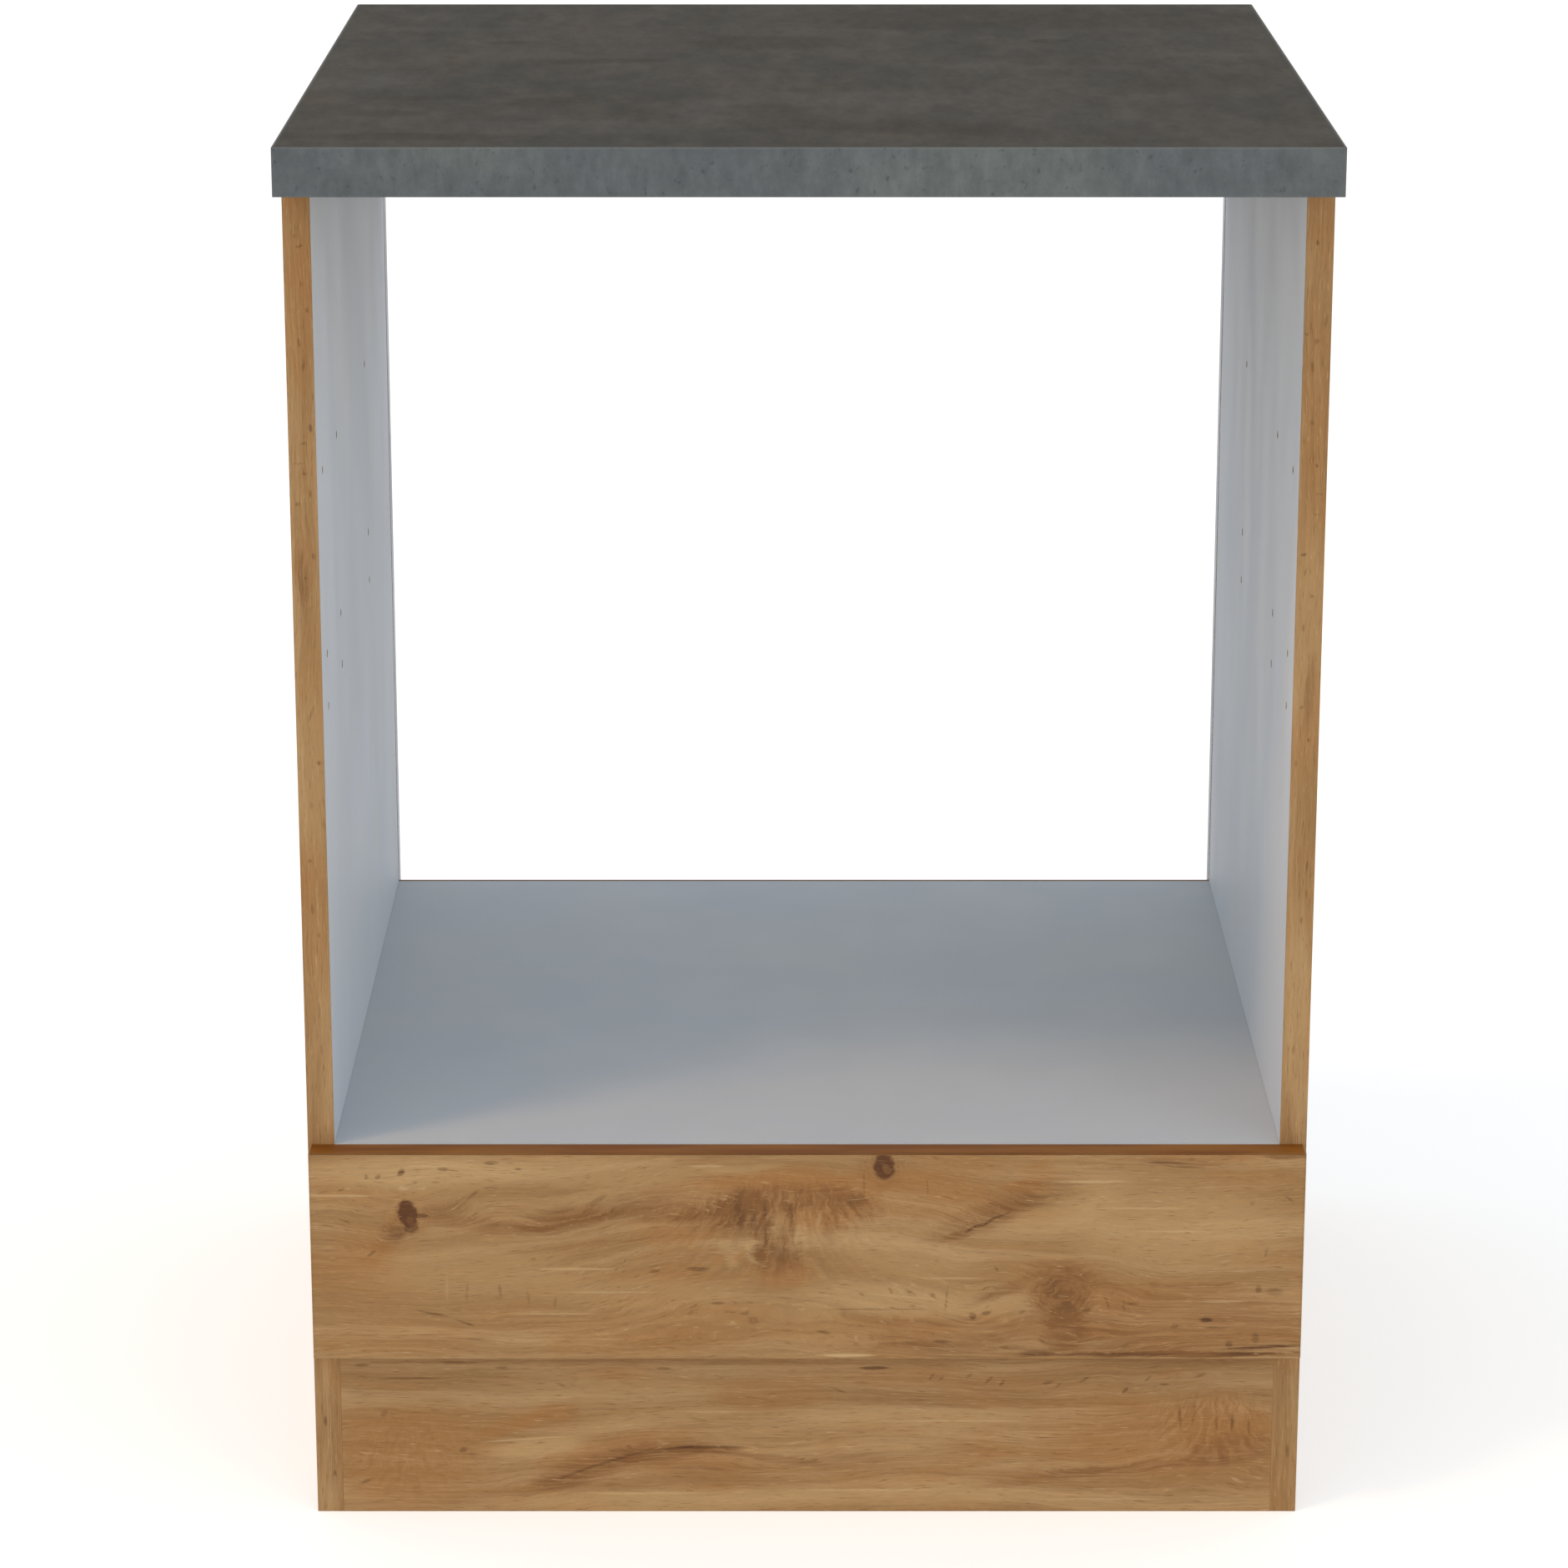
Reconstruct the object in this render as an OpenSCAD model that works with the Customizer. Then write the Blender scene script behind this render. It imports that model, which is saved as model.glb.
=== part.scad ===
// Oven base cabinet for a fitted kitchen: an open niche for a built-in oven over a shallow
// handleless drawer, on a plinth, under its own worktop. All sizes are in millimetres.
// The origin is on the floor under the middle of the worktop. +Y points to the wall behind
// the cabinet, the front looks along -Y, and +Z points up.

/* [Cabinet] */
// Width over the two side panels
cabinet_w = 600; // [450:10:900]
// Height of the side panels, from the floor to the worktop's underside
side_h = 822; // [760:2:900]
// Depth of the side panels
side_d = 548; // [540:2:640]
// Thickness of the faced boards
board_t = 16; // [15:0.5:19]
// Thickness of the bands glued on the visible edges
band_t = 1; // [0.4:0.1:2]
// Height of the plinth and of the bottom panel's underside
plinth_h = 100; // [80:5:150]
// Clear height of the bay that holds the drawer
bay_h = 108; // [96:1:160]
// Height of the rail across the rear, under the worktop
rear_rail_h = 90; // [90:1:140]

/* [Worktop] */
// Thickness of the worktop
worktop_t = 28; // [22:1:40]
// How far the worktop stands out in front of the side panels
worktop_overhang = 52; // [10:1:80]
// Leg length of the angle brackets that hold the worktop
bracket_leg = 25; // [22:1:40]
// Width of the angle brackets
bracket_w = 17; // [14:1:25]
// Thickness of the angle brackets
bracket_t = 2; // [1.5:0.25:3]
// Distance of the front brackets behind the side panels' front edges
bracket_front = 188; // [150:1:220]
// Distance of the rear brackets in front of the side panels' rear edges
bracket_rear = 120; // [80:1:160]

/* [Back panel] */
// Thickness of the hardboard back panel
back_t = 3; // [2.5:0.1:3.5]
// Width of the grooves that take the back panel
groove_w = 4; // [3.8:0.1:6]
// Depth of the grooves in the side panels
groove_depth = 8; // [5:0.5:10]
// Wood left behind the grooves at the rear edges
groove_inset = 16; // [10:1:20]

/* [Row holes] */
// Diameter of the row holes for shelf pins and fittings
hole_d = 5; // [4:0.5:6]
// Depth of the row holes
hole_depth = 12; // [8:0.5:13]
// Distance of the first column of holes behind the front edge
column_1 = 37; // [30:1:60]
// Distance of the second column of holes behind the front edge
column_2 = 133; // [100:1:200]
// Distance of the third column of holes behind the front edge
column_3 = 345; // [250:1:450]
// Height of the lowest row of holes above the niche floor
row_1 = 263; // [150:1:280]
// Height of the middle row of holes above the niche floor
row_2 = 295; // [290:1:360]
// Height of the top row of holes above the niche floor
row_3 = 406; // [370:1:440]

/* [Drawer front] */
// Gap between the front's ends and the cabinet's outer faces
front_reveal = 1.5; // [1:0.5:4]
// Height of the finger gap between the plinth's top and the front
finger_gap = 8; // [4:1:14]
// Gap between the closed front and the carcass edges
front_gap = 0.5; // [0.4:0.1:2]

/* [Drawer box] */
// Thickness of the drawer box boards
box_t = 12; // [12:0.5:16]
// Height of the drawer box above the bottom panel
box_lift = 14; // [10:1:20]
// Free height over the drawer box, for lifting it out
box_headroom = 24; // [16:1:30]
// Thickness of the drawer's hardboard bottom
bottom_t = 3; // [2.5:0.1:4]
// Height of the drawer bottom above the box's lower edge
bottom_rise = 8; // [6:0.5:12]
// Depth of the grooves that hold the drawer bottom
bottom_groove = 6; // [4:0.5:8]

/* [Runners] */
// Free depth left behind the runners, in front of the back panel
runner_rear_space = 26; // [16:1:80]
// Space for one runner between the drawer box and the side panel
runner_space = 12.5; // [12.5:0.1:14]
// Thickness of the runners' sheet steel
rail_t = 1.2; // [1:0.1:1.4]
// Radius of the nylon rollers
roller_r = 9; // [8:0.5:10]
// Width of the nylon rollers
roller_w = 5; // [4:0.1:5.2]
// Diameter of the roller pins
pin_d = 4; // [3:0.1:5]
// Width of the foot that the drawer box stands on
foot_w = 10; // [9:0.5:12]

/* [Fittings] */
// Diameter of the cam housings
cam_d = 15; // [12:0.5:16]
// Height of the cam housings
cam_h = 12; // [11:0.5:13]
// Distance of a cam's centre from the board's end
cam_inset = 34; // [24:1:40]
// Distance of a lying board's cams from its front and rear edges
fitting_inset = 60; // [50:1:90]
// Diameter of the connecting bolts
bolt_d = 7; // [5:0.5:7.5]
// Diameter of the beech dowels
dowel_d = 8; // [6:0.5:10]
// Length of the beech dowels
dowel_l = 30; // [24:1:40]
// Distance from a connecting bolt to the dowel beside it
dowel_step = 32; // [20:1:38]

/* [Hidden] */
$fn = 48;

// Clearances
cut = 1;            // how far a cutter runs past the face it cuts
fit = 0.05;         // around screws, bolts, dowels and cams in their holes
pin_play = 0.08;    // around a roller's pin
side_play = 0.1;    // beside a roller, on its pin
roll_gap = 0.3;     // between a roller and its track
head_gap = 0.4;     // between a roller pin's head and the screw heads it passes
flange_gap = 2.5;   // between the drawer rail's flange and the side panel
panel_play = 0.5;   // from a hardboard panel's edge to the bottom of its groove
groove_play = 0.4;  // over the drawer bottom in its groove

// Main planes of the carcass
worktop_d = side_d + worktop_overhang;
y_back = worktop_d / 2;
y_front = y_back - side_d;
y_board = y_front + band_t;
y_groove = y_back - groove_inset - groove_w;
x_in = cabinet_w / 2 - board_t;
z_bay = plinth_h + board_t;
z_shelf = z_bay + bay_h;
z_niche = z_shelf + board_t;

// The runners start just behind the front edges and end before the back panel
rail_setback = 2;
y_rail = y_front + rail_setback;
y_rail_end = y_groove - runner_rear_space;
runner_l = y_rail_end - y_rail;

// Main planes of the drawer
x_box = x_in - runner_space;
x_box_in = x_box - box_t;
y_box = y_front - front_gap;
y_box_end = y_box + runner_l;
z_box = z_bay + box_lift;
z_box_top = z_shelf - box_headroom;
z_bottom = z_box + bottom_rise;
front_w = cabinet_w - 2 * front_reveal;
z_front = plinth_h + finger_gap;
y_face = y_box - board_t;

// Runner section. u is the distance from a side panel's inner face towards the middle,
// and the cabinet rail's track is level with the drawer box's lower edge
rail_head_h = 1.4;
pin_head_t = 0.8;
pin_head_d = 7;
z_track = z_box;
roller_u = rail_t + rail_head_h + head_gap + pin_head_t + side_play;
roller_end_u = roller_u + roller_w;
track_w = roller_end_u + 2 * side_play + rail_t;
z_retainer = z_track + 2 * roll_gap + 2 * roller_r;
z_flange = z_retainer + rail_t + 2 * roll_gap;
cabinet_axle = [y_rail + roller_r + 3, z_flange - roll_gap - roller_r];
drawer_axle = [y_box_end - roller_r - 3, z_track + roll_gap + roller_r];
z_rail_screw = z_track + roll_gap + roller_r;

// Screws: [shank diameter, head diameter, head height, length under the head]
foot_skin = 1;      // wood left between a foot screw's tip and the drawer bottom
rail_screw = [3, 6.5, rail_head_h, 13];
foot_screw = [3, 6.5, rail_head_h, rail_t + bottom_rise - foot_skin];
bracket_screw = [3.5, 7, 1.8, 13];
back_screw = [3, 6, 1.6, 16];
front_screw = [4, 8, 2.2, 24];
box_screw = [3.5, 7, 2.5, 35];
bottom_screw = [3, 6, 1.6, 16];

// Fittings between a side panel and the boards that end on it: [y, z, turn, dowel offsets].
// turn is 0 for a lying board, whose cam opens downwards, and 90 for an upright one, whose
// cam opens to the rear. A dowel's offset runs along Y on a lying board, Z on an upright one
fittings = concat(
    [for (z = [plinth_h + board_t / 2, z_shelf + board_t / 2])
        each [[y_front + fitting_inset, z, 0, [dowel_step]],
              [y_groove - fitting_inset, z, 0, [-dowel_step]]]],
    [[y_groove - board_t / 2, side_h - rear_rail_h / 2, 90, [-dowel_step, dowel_step]],
     [y_front + board_t / 2, plinth_h / 2, 90, [-dowel_step, dowel_step]]]);
dowel_in_side = 10;
bolt_in_side = 11;
bolt_thread_d = 5;

// Screw places along a rail of the runners, and along the drawer's and the back's boards
function spread(first, length, count) =
    [for (i = [0 : count - 1]) first + i * (length - 2 * first) / (count - 1)];
rail_screw_ys = spread(35, runner_l, 3);
back_screw_xs = [for (s = spread(30, 2 * x_in, 4)) s - x_in];
bottom_screw_xs = [for (s = spread(60, 2 * x_box_in, 3)) s - x_box_in];
front_screw_xs = [-(x_box_in - 80), x_box_in - 80];
front_screw_zs = [z_box + bottom_rise + bottom_t + 10, z_box_top - 12];
box_screw_zs = [z_flange + rail_t + 10, z_box_top - 12];
bracket_ys = [y_front + bracket_front, y_back - bracket_rear];
bracket_hole = 15;  // from a bracket's corner to the hole in each leg

oak = "#a5824f";
oak_dark = "#7d502a";
melamine = "#c9cccd";
concrete = "#5b5a55";
concrete_edge = "#626c6e";
hardboard = "#8a6b4a";
beech = "#d9b98a";
zinc = "#b9bcc0";
white_steel = "#e6e6e2";
nylon = "#f2f1ea";

// General helpers
module on_left() { mirror([1, 0, 0]) children(); }
module on_both() { children(); on_left() children(); }
// A block between two opposite corners
module block(low, high) { translate(low) cube(high - low); }
// Turns +Z to +X, to -X, to +Y and to -Y
module along_x() { rotate([0, 90, 0]) children(); }
module along_minus_x() { rotate([0, -90, 0]) children(); }
module along_y() { rotate([-90, 0, 0]) children(); }
module along_minus_y() { rotate([90, 0, 0]) children(); }

// A pan-head screw: its head stands on the plane z = 0 and its shank runs along +Z
module pan_screw(s) {
    tip = s[0];
    difference() {
        union() {
            translate([0, 0, -s[2]]) cylinder(d1 = s[1] - 1.6, d2 = s[1], h = s[2] / 2);
            translate([0, 0, -s[2] / 2]) cylinder(d = s[1], h = s[2] / 2);
            cylinder(d = s[0], h = s[3] - tip);
            translate([0, 0, s[3] - tip]) cylinder(d1 = s[0], d2 = s[0] / 4, h = tip);
        }
        cross_slot(-s[2], s[1] / 2, s[2] / 2);
    }
}
// A countersunk screw: its head's top lies in the plane z = 0
module flat_screw(s) {
    tip = s[0];
    difference() {
        union() {
            cylinder(d1 = s[1], d2 = s[0], h = s[2]);
            translate([0, 0, s[2]]) cylinder(d = s[0], h = s[3] - tip - s[2]);
            translate([0, 0, s[3] - tip]) cylinder(d1 = s[0], d2 = s[0] / 4, h = tip);
        }
        cross_slot(0, s[1] / 2, s[2] / 2);
    }
}
// A cross recess that starts at height z
module cross_slot(z, reach, depth) {
    arm = 0.9;
    for (turn = [0, 90])
        rotate([0, 0, turn])
            block([-reach / 2, -arm / 2, z - cut], [reach / 2, arm / 2, z + depth]);
}
// The hole for a screw, running along +Z from the plane z = 0
module screw_hole(s) {
    translate([0, 0, -cut]) cylinder(d = s[0] + 2 * fit, h = s[3] + cut + fit);
}
// The hole with its countersink for a flat screw
module flat_screw_hole(s) {
    screw_hole(s);
    translate([0, 0, -fit]) cylinder(d1 = s[1] + 4 * fit, d2 = s[0] + 2 * fit, h = s[2] + 2 * fit);
    translate([0, 0, -cut]) cylinder(d = s[1] + 4 * fit, h = cut);
}

// Puts its children at each fitting of the right-hand side panel. There +X runs into the
// panel and -Z points to the mouth of the cam
module at_fittings() {
    for (f = fittings)
        translate([x_in, f[0], f[1]]) rotate([f[2], 0, 0]) children();
}
// Puts its children at each dowel of the right-hand side panel
module at_dowels() {
    for (f = fittings)
        translate([x_in, f[0], f[1]]) rotate([f[2], 0, 0])
            for (offset = f[3]) translate([0, offset, 0]) children();
}
// Holes in a side panel's face for the bolts and dowels
module face_fitting_holes() {
    at_fittings() translate([-cut, 0, 0]) along_x()
        cylinder(d = bolt_thread_d + 2 * fit, h = bolt_in_side + fit + cut);
    at_dowels() translate([-cut, 0, 0]) along_x()
        cylinder(d = dowel_d + 2 * fit, h = dowel_in_side + fit + cut);
}
// Holes in the boards that end on the side panel, for the cams, bolts and dowels
module end_fitting_holes() {
    at_fittings() {
        translate([cut, 0, 0]) along_minus_x()
            cylinder(d = bolt_d + 1, h = cam_inset + cut);
        translate([-cam_inset, 0, -board_t / 2 - cut])
            cylinder(d = cam_d + 2 * fit, h = cam_h + fit + cut);
    }
    at_dowels() translate([cut, 0, 0]) along_minus_x()
        cylinder(d = dowel_d + 2 * fit, h = dowel_l - dowel_in_side + fit + cut);
}

// Carcass
module side_panel() {
    difference() {
        block([x_in, y_board, 0], [cabinet_w / 2, y_back, side_h]);
        block([x_in - cut, y_groove, -cut], [x_in + groove_depth, y_groove + groove_w, side_h + cut]);
        for (column = [column_1, column_2, column_3])
            for (row = [row_1, row_2, row_3])
                translate([x_in - cut, y_front + column, z_niche + row])
                    along_x() cylinder(d = hole_d, h = hole_depth + cut);
        face_fitting_holes();
        for (y = rail_screw_ys)
            translate([x_in, y_rail + y, z_rail_screw]) along_x() screw_hole(rail_screw);
        for (y = bracket_ys)
            translate([x_in, y, side_h - bracket_hole]) along_x() screw_hole(bracket_screw);
    }
}
module side_panel_left() { color(melamine) on_left() side_panel(); }
module side_panel_right() { color(melamine) side_panel(); }

module side_edge_band() { block([x_in, y_front, 0], [cabinet_w / 2, y_board, side_h]); }
module side_edge_band_left() { color(oak) on_left() side_edge_band(); }
module side_edge_band_right() { color(oak) side_edge_band(); }

// A board that lies between the side panels, from its edge band to the back panel's groove
module lying_board(z) {
    difference() {
        block([-x_in, y_board, z], [x_in, y_groove, z + board_t]);
        on_both() end_fitting_holes();
        for (x = back_screw_xs)
            translate([x, y_groove + back_t, z + board_t / 2])
                along_minus_y() screw_hole(back_screw);
    }
}
module lying_edge_band(z) { block([-x_in, y_front, z], [x_in, y_board, z + board_t]); }

module oven_shelf() { color(melamine) lying_board(z_shelf); }
module shelf_edge_band() { color(melamine) lying_edge_band(z_shelf); }
module bottom_panel() { color(melamine) lying_board(plinth_h); }
module bottom_edge_band() { color(oak) lying_edge_band(plinth_h); }

module plinth_panel() {
    color(oak) difference() {
        block([-x_in, y_front, 0], [x_in, y_front + board_t, plinth_h]);
        on_both() end_fitting_holes();
    }
}
module rear_rail() {
    color(melamine) difference() {
        block([-x_in, y_groove - board_t, side_h - rear_rail_h], [x_in, y_groove, side_h]);
        on_both() end_fitting_holes();
    }
}
module back_panel() {
    reach = x_in + groove_depth - panel_play;
    color(hardboard) difference() {
        block([-reach, y_groove, plinth_h], [reach, y_groove + back_t, z_niche]);
        at_back_screws() screw_hole(back_screw);
    }
}
module at_back_screws() {
    for (x = back_screw_xs)
        for (z = [plinth_h, z_shelf])
            translate([x, y_groove + back_t, z + board_t / 2]) along_minus_y() children();
}
module back_panel_screws() { color(zinc) at_back_screws() pan_screw(back_screw); }

// A cam housing, open at its mouth for a screwdriver and along its middle for the bolt
module cam_housing() {
    neck = bolt_d + 2 * fit;
    difference() {
        translate([0, 0, -board_t / 2]) cylinder(d = cam_d, h = cam_h);
        translate([-neck / 2, 0, 0]) along_x() cylinder(d = neck, h = cam_d);
        translate([-neck / 2, 0, 0]) sphere(d = neck);
        cross_slot(-board_t / 2, cam_d / 2, 2);
    }
}
module cam_housings() {
    color(zinc) on_both() at_fittings() translate([-cam_inset, 0, 0]) cam_housing();
}
// A connecting bolt: threaded end in the side panel, collar at the joint, ball in the cam
module connecting_bolt() {
    neck = bolt_d - 2;
    along_x() cylinder(d = bolt_thread_d, h = bolt_in_side);
    along_minus_x() cylinder(d = bolt_d, h = cam_inset - cam_d / 2 - 2);
    along_minus_x() cylinder(d = neck, h = cam_inset);
    translate([-cam_inset, 0, 0]) sphere(d = bolt_d - 1);
}
module connecting_bolts() { color(zinc) on_both() at_fittings() connecting_bolt(); }

// A dowel with chamfered ends, across the joint
module dowel() {
    lead = 1;
    translate([dowel_in_side - dowel_l, 0, 0]) along_x() {
        cylinder(d1 = dowel_d - 2 * lead, d2 = dowel_d, h = lead);
        translate([0, 0, lead]) cylinder(d = dowel_d, h = dowel_l - 2 * lead);
        translate([0, 0, dowel_l - lead]) cylinder(d1 = dowel_d, d2 = dowel_d - 2 * lead, h = lead);
    }
}
module wooden_dowels() { color(beech) on_both() at_dowels() dowel(); }

// Worktop
module worktop() {
    reach = cabinet_w / 2 - band_t;
    color(concrete) difference() {
        block([-reach, -worktop_d / 2 + band_t, side_h], [reach, y_back, side_h + worktop_t]);
        on_both() for (y = bracket_ys)
            translate([x_in - bracket_hole, y, side_h]) screw_hole(bracket_screw);
    }
}
module worktop_front_edge() {
    color(concrete_edge)
        block([-cabinet_w / 2, -worktop_d / 2, side_h],
              [cabinet_w / 2, -worktop_d / 2 + band_t, side_h + worktop_t]);
}
module worktop_edge() {
    block([cabinet_w / 2 - band_t, -worktop_d / 2 + band_t, side_h],
          [cabinet_w / 2, y_back, side_h + worktop_t]);
}
module worktop_edge_left() { color(concrete_edge) on_left() worktop_edge(); }
module worktop_edge_right() { color(concrete_edge) worktop_edge(); }

// An angle bracket in the corner of a side panel and the worktop, with a hole in each leg
module bracket() {
    difference() {
        union() {
            block([-bracket_leg, -bracket_w / 2, -bracket_t], [0, bracket_w / 2, 0]);
            block([-bracket_t, -bracket_w / 2, -bracket_leg], [0, bracket_w / 2, 0]);
        }
        translate([-bracket_t, 0, -bracket_hole]) along_x() screw_hole(bracket_screw);
        translate([-bracket_hole, 0, -bracket_t]) screw_hole(bracket_screw);
    }
}
module at_brackets() {
    on_both() for (y = bracket_ys) translate([x_in, y, side_h]) children();
}
module worktop_brackets() { color(zinc) at_brackets() bracket(); }
module bracket_screws() {
    color(zinc) at_brackets() {
        translate([-bracket_t, 0, -bracket_hole]) along_x() pan_screw(bracket_screw);
        translate([-bracket_hole, 0, -bracket_t]) pan_screw(bracket_screw);
    }
}

// Runners. The cabinet rail is a channel that the drawer's rear roller runs in
module cabinet_rail() {
    retainer_start = cabinet_axle[0] + 2 * roller_r;
    difference() {
        union() {
            block([x_in - rail_t, y_rail, z_track - rail_t], [x_in, y_rail_end, z_retainer + rail_t]);
            block([x_in - track_w, y_rail, z_track - rail_t], [x_in, y_rail_end, z_track]);
            block([x_in - track_w, y_rail, z_track - rail_t],
                  [x_in - track_w + rail_t, y_rail_end, z_track + rail_t]);
            block([x_in - roller_end_u, retainer_start, z_retainer],
                  [x_in, y_rail_end, z_retainer + rail_t]);
            block([x_in - roller_end_u, y_rail_end - rail_t, z_track - rail_t],
                  [x_in, y_rail_end, z_retainer + rail_t]);
        }
        translate([x_in - track_w, cabinet_axle[0], cabinet_axle[1]]) along_x()
            cylinder(d = pin_d + 2 * fit, h = track_w + cut);
        for (y = rail_screw_ys)
            translate([x_in - rail_t, y_rail + y, z_rail_screw]) along_x() screw_hole(rail_screw);
    }
}
module cabinet_rail_left() { color(white_steel) on_left() cabinet_rail(); }
module cabinet_rail_right() { color(white_steel) cabinet_rail(); }
module cabinet_rail_screws() {
    color(zinc) on_both() for (y = rail_screw_ys)
        translate([x_in - rail_t, y_rail + y, z_rail_screw]) along_x() pan_screw(rail_screw);
}

// The drawer rail: a foot under the box, a web beside it and a flange that rides on the
// cabinet's roller
module drawer_rail() {
    difference() {
        union() {
            block([x_box - foot_w, y_box + rail_setback, z_box - rail_t],
                  [x_box + rail_t, y_box_end, z_box]);
            block([x_box, y_box + rail_setback, z_box - rail_t],
                  [x_box + rail_t, y_box_end, z_flange + rail_t]);
            block([x_box, y_box + rail_setback, z_flange],
                  [x_in - flange_gap, y_box_end, z_flange + rail_t]);
        }
        translate([x_box - cut, drawer_axle[0], drawer_axle[1]]) along_x()
            cylinder(d = pin_d + 2 * fit, h = rail_t + 2 * cut);
        at_foot_screws() screw_hole(foot_screw);
    }
}
// Puts its children at each screw that comes up through the right-hand rail's foot
module at_foot_screws() {
    for (y = rail_screw_ys)
        translate([x_box - box_t / 2, y_box + y, z_box - rail_t]) children();
}
module drawer_rail_left() { color(white_steel) on_left() drawer_rail(); }
module drawer_rail_right() { color(white_steel) drawer_rail(); }
module drawer_rail_screws() { color(zinc) on_both() at_foot_screws() pan_screw(foot_screw); }

// A roller pin that points along +Z from a rail's outer face: riveted end, collar, axle, head.
// from and to are where the roller's faces lie
module roller_pin(from, to) {
    cylinder(d = pin_d, h = to + side_play);
    translate([0, 0, rail_t]) cylinder(d = pin_head_d, h = from - side_play - rail_t);
    translate([0, 0, to + side_play]) cylinder(d = pin_head_d, h = pin_head_t);
}
module cabinet_roller_pins() {
    color(zinc) on_both() translate([x_in, cabinet_axle[0], cabinet_axle[1]])
        along_minus_x() roller_pin(roller_u, roller_end_u);
}
module drawer_roller_pins() {
    color(zinc) on_both() translate([x_box, drawer_axle[0], drawer_axle[1]])
        along_x() roller_pin(runner_space - roller_end_u, runner_space - roller_u);
}
// A nylon roller with chamfered rims and a hub that stands proud of its dished faces
module roller() {
    bore_r = pin_d / 2 + pin_play;
    hub_r = bore_r + 1.6;
    rim_r = roller_r - 1.6;
    dish = 0.8;
    edge = 0.5;
    rotate_extrude($fn = 64)
        polygon([[bore_r, 0], [hub_r, 0], [hub_r, dish], [rim_r, dish], [rim_r, 0],
                 [roller_r - edge, 0], [roller_r, edge], [roller_r, roller_w - edge],
                 [roller_r - edge, roller_w], [rim_r, roller_w], [rim_r, roller_w - dish],
                 [hub_r, roller_w - dish], [hub_r, roller_w], [bore_r, roller_w]]);
}
module roller_on(axle) {
    translate([x_in - roller_u, axle[0], axle[1]]) along_minus_x() roller();
}
module cabinet_roller_left() { color(nylon) on_left() roller_on(cabinet_axle); }
module cabinet_roller_right() { color(nylon) roller_on(cabinet_axle); }
module drawer_roller_left() { color(nylon) on_left() roller_on(drawer_axle); }
module drawer_roller_right() { color(nylon) roller_on(drawer_axle); }

// Drawer
module at_front_screws() {
    for (x = front_screw_xs)
        for (z = front_screw_zs)
            translate([x, y_box + box_t, z]) along_minus_y() children();
}
module at_box_screws() {
    on_both() for (y = [y_box + box_t / 2, y_box_end - box_t / 2])
        for (z = box_screw_zs)
            translate([x_box, y, z]) along_minus_x() children();
}
module at_bottom_screws() {
    for (x = bottom_screw_xs)
        translate([x, y_box_end - box_t / 2, z_bottom]) children();
}
module drawer_front() {
    reach = front_w / 2 - band_t;
    color(oak) difference() {
        block([-reach, y_face, z_front + band_t], [reach, y_box, z_niche - band_t]);
        at_front_screws() screw_hole(front_screw);
    }
}
module front_lying_band(z) {
    reach = front_w / 2 - band_t;
    block([-reach, y_face, z], [reach, y_box, z + band_t]);
}
module front_top_edge_band() { color(oak_dark) front_lying_band(z_niche - band_t); }
module front_bottom_edge_band() { color(oak) front_lying_band(z_front); }
module front_end_edge_bands() {
    color(oak) on_both()
        block([front_w / 2 - band_t, y_face, z_front], [front_w / 2, y_box, z_niche]);
}
module drawer_inner_front() {
    color(melamine) difference() {
        block([-x_box_in, y_box, z_box], [x_box_in, y_box + box_t, z_box_top]);
        block([-x_box_in - cut, y_box + box_t - bottom_groove, z_bottom],
              [x_box_in + cut, y_box + box_t + cut, z_bottom + bottom_t + groove_play]);
        at_front_screws() screw_hole(front_screw);
        at_box_screws() screw_hole(box_screw);
    }
}
module drawer_side() {
    difference() {
        block([x_box_in, y_box, z_box], [x_box, y_box_end, z_box_top]);
        block([x_box_in - cut, y_box - cut, z_bottom],
              [x_box_in + bottom_groove, y_box_end + cut, z_bottom + bottom_t + groove_play]);
        at_box_screws() flat_screw_hole(box_screw);
        at_foot_screws() screw_hole(foot_screw);
    }
}
module drawer_side_left() { color(melamine) on_left() drawer_side(); }
module drawer_side_right() { color(melamine) drawer_side(); }
module drawer_back() {
    color(melamine) difference() {
        block([-x_box_in, y_box_end - box_t, z_bottom + bottom_t],
              [x_box_in, y_box_end, z_box_top]);
        at_box_screws() screw_hole(box_screw);
        at_bottom_screws() screw_hole(bottom_screw);
    }
}
module drawer_bottom() {
    reach = x_box_in + bottom_groove - panel_play;
    color(hardboard) difference() {
        block([-reach, y_box + box_t - bottom_groove + panel_play, z_bottom],
              [reach, y_box_end, z_bottom + bottom_t]);
        at_bottom_screws() screw_hole(bottom_screw);
    }
}
module drawer_front_screws() { color(zinc) at_front_screws() pan_screw(front_screw); }
module drawer_box_screws() { color(zinc) at_box_screws() flat_screw(box_screw); }
module drawer_bottom_screws() { color(zinc) at_bottom_screws() pan_screw(bottom_screw); }

side_panel_left();
side_panel_right();
side_edge_band_left();
side_edge_band_right();
oven_shelf();
shelf_edge_band();
bottom_panel();
bottom_edge_band();
plinth_panel();
rear_rail();
back_panel();
back_panel_screws();
worktop();
worktop_front_edge();
worktop_edge_left();
worktop_edge_right();
worktop_brackets();
bracket_screws();
cam_housings();
connecting_bolts();
wooden_dowels();
cabinet_rail_left();
cabinet_rail_right();
cabinet_rail_screws();
cabinet_roller_pins();
cabinet_roller_left();
cabinet_roller_right();
drawer_front();
front_top_edge_band();
front_bottom_edge_band();
front_end_edge_bands();
drawer_inner_front();
drawer_side_left();
drawer_side_right();
drawer_back();
drawer_bottom();
drawer_front_screws();
drawer_box_screws();
drawer_bottom_screws();
drawer_rail_left();
drawer_rail_right();
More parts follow.
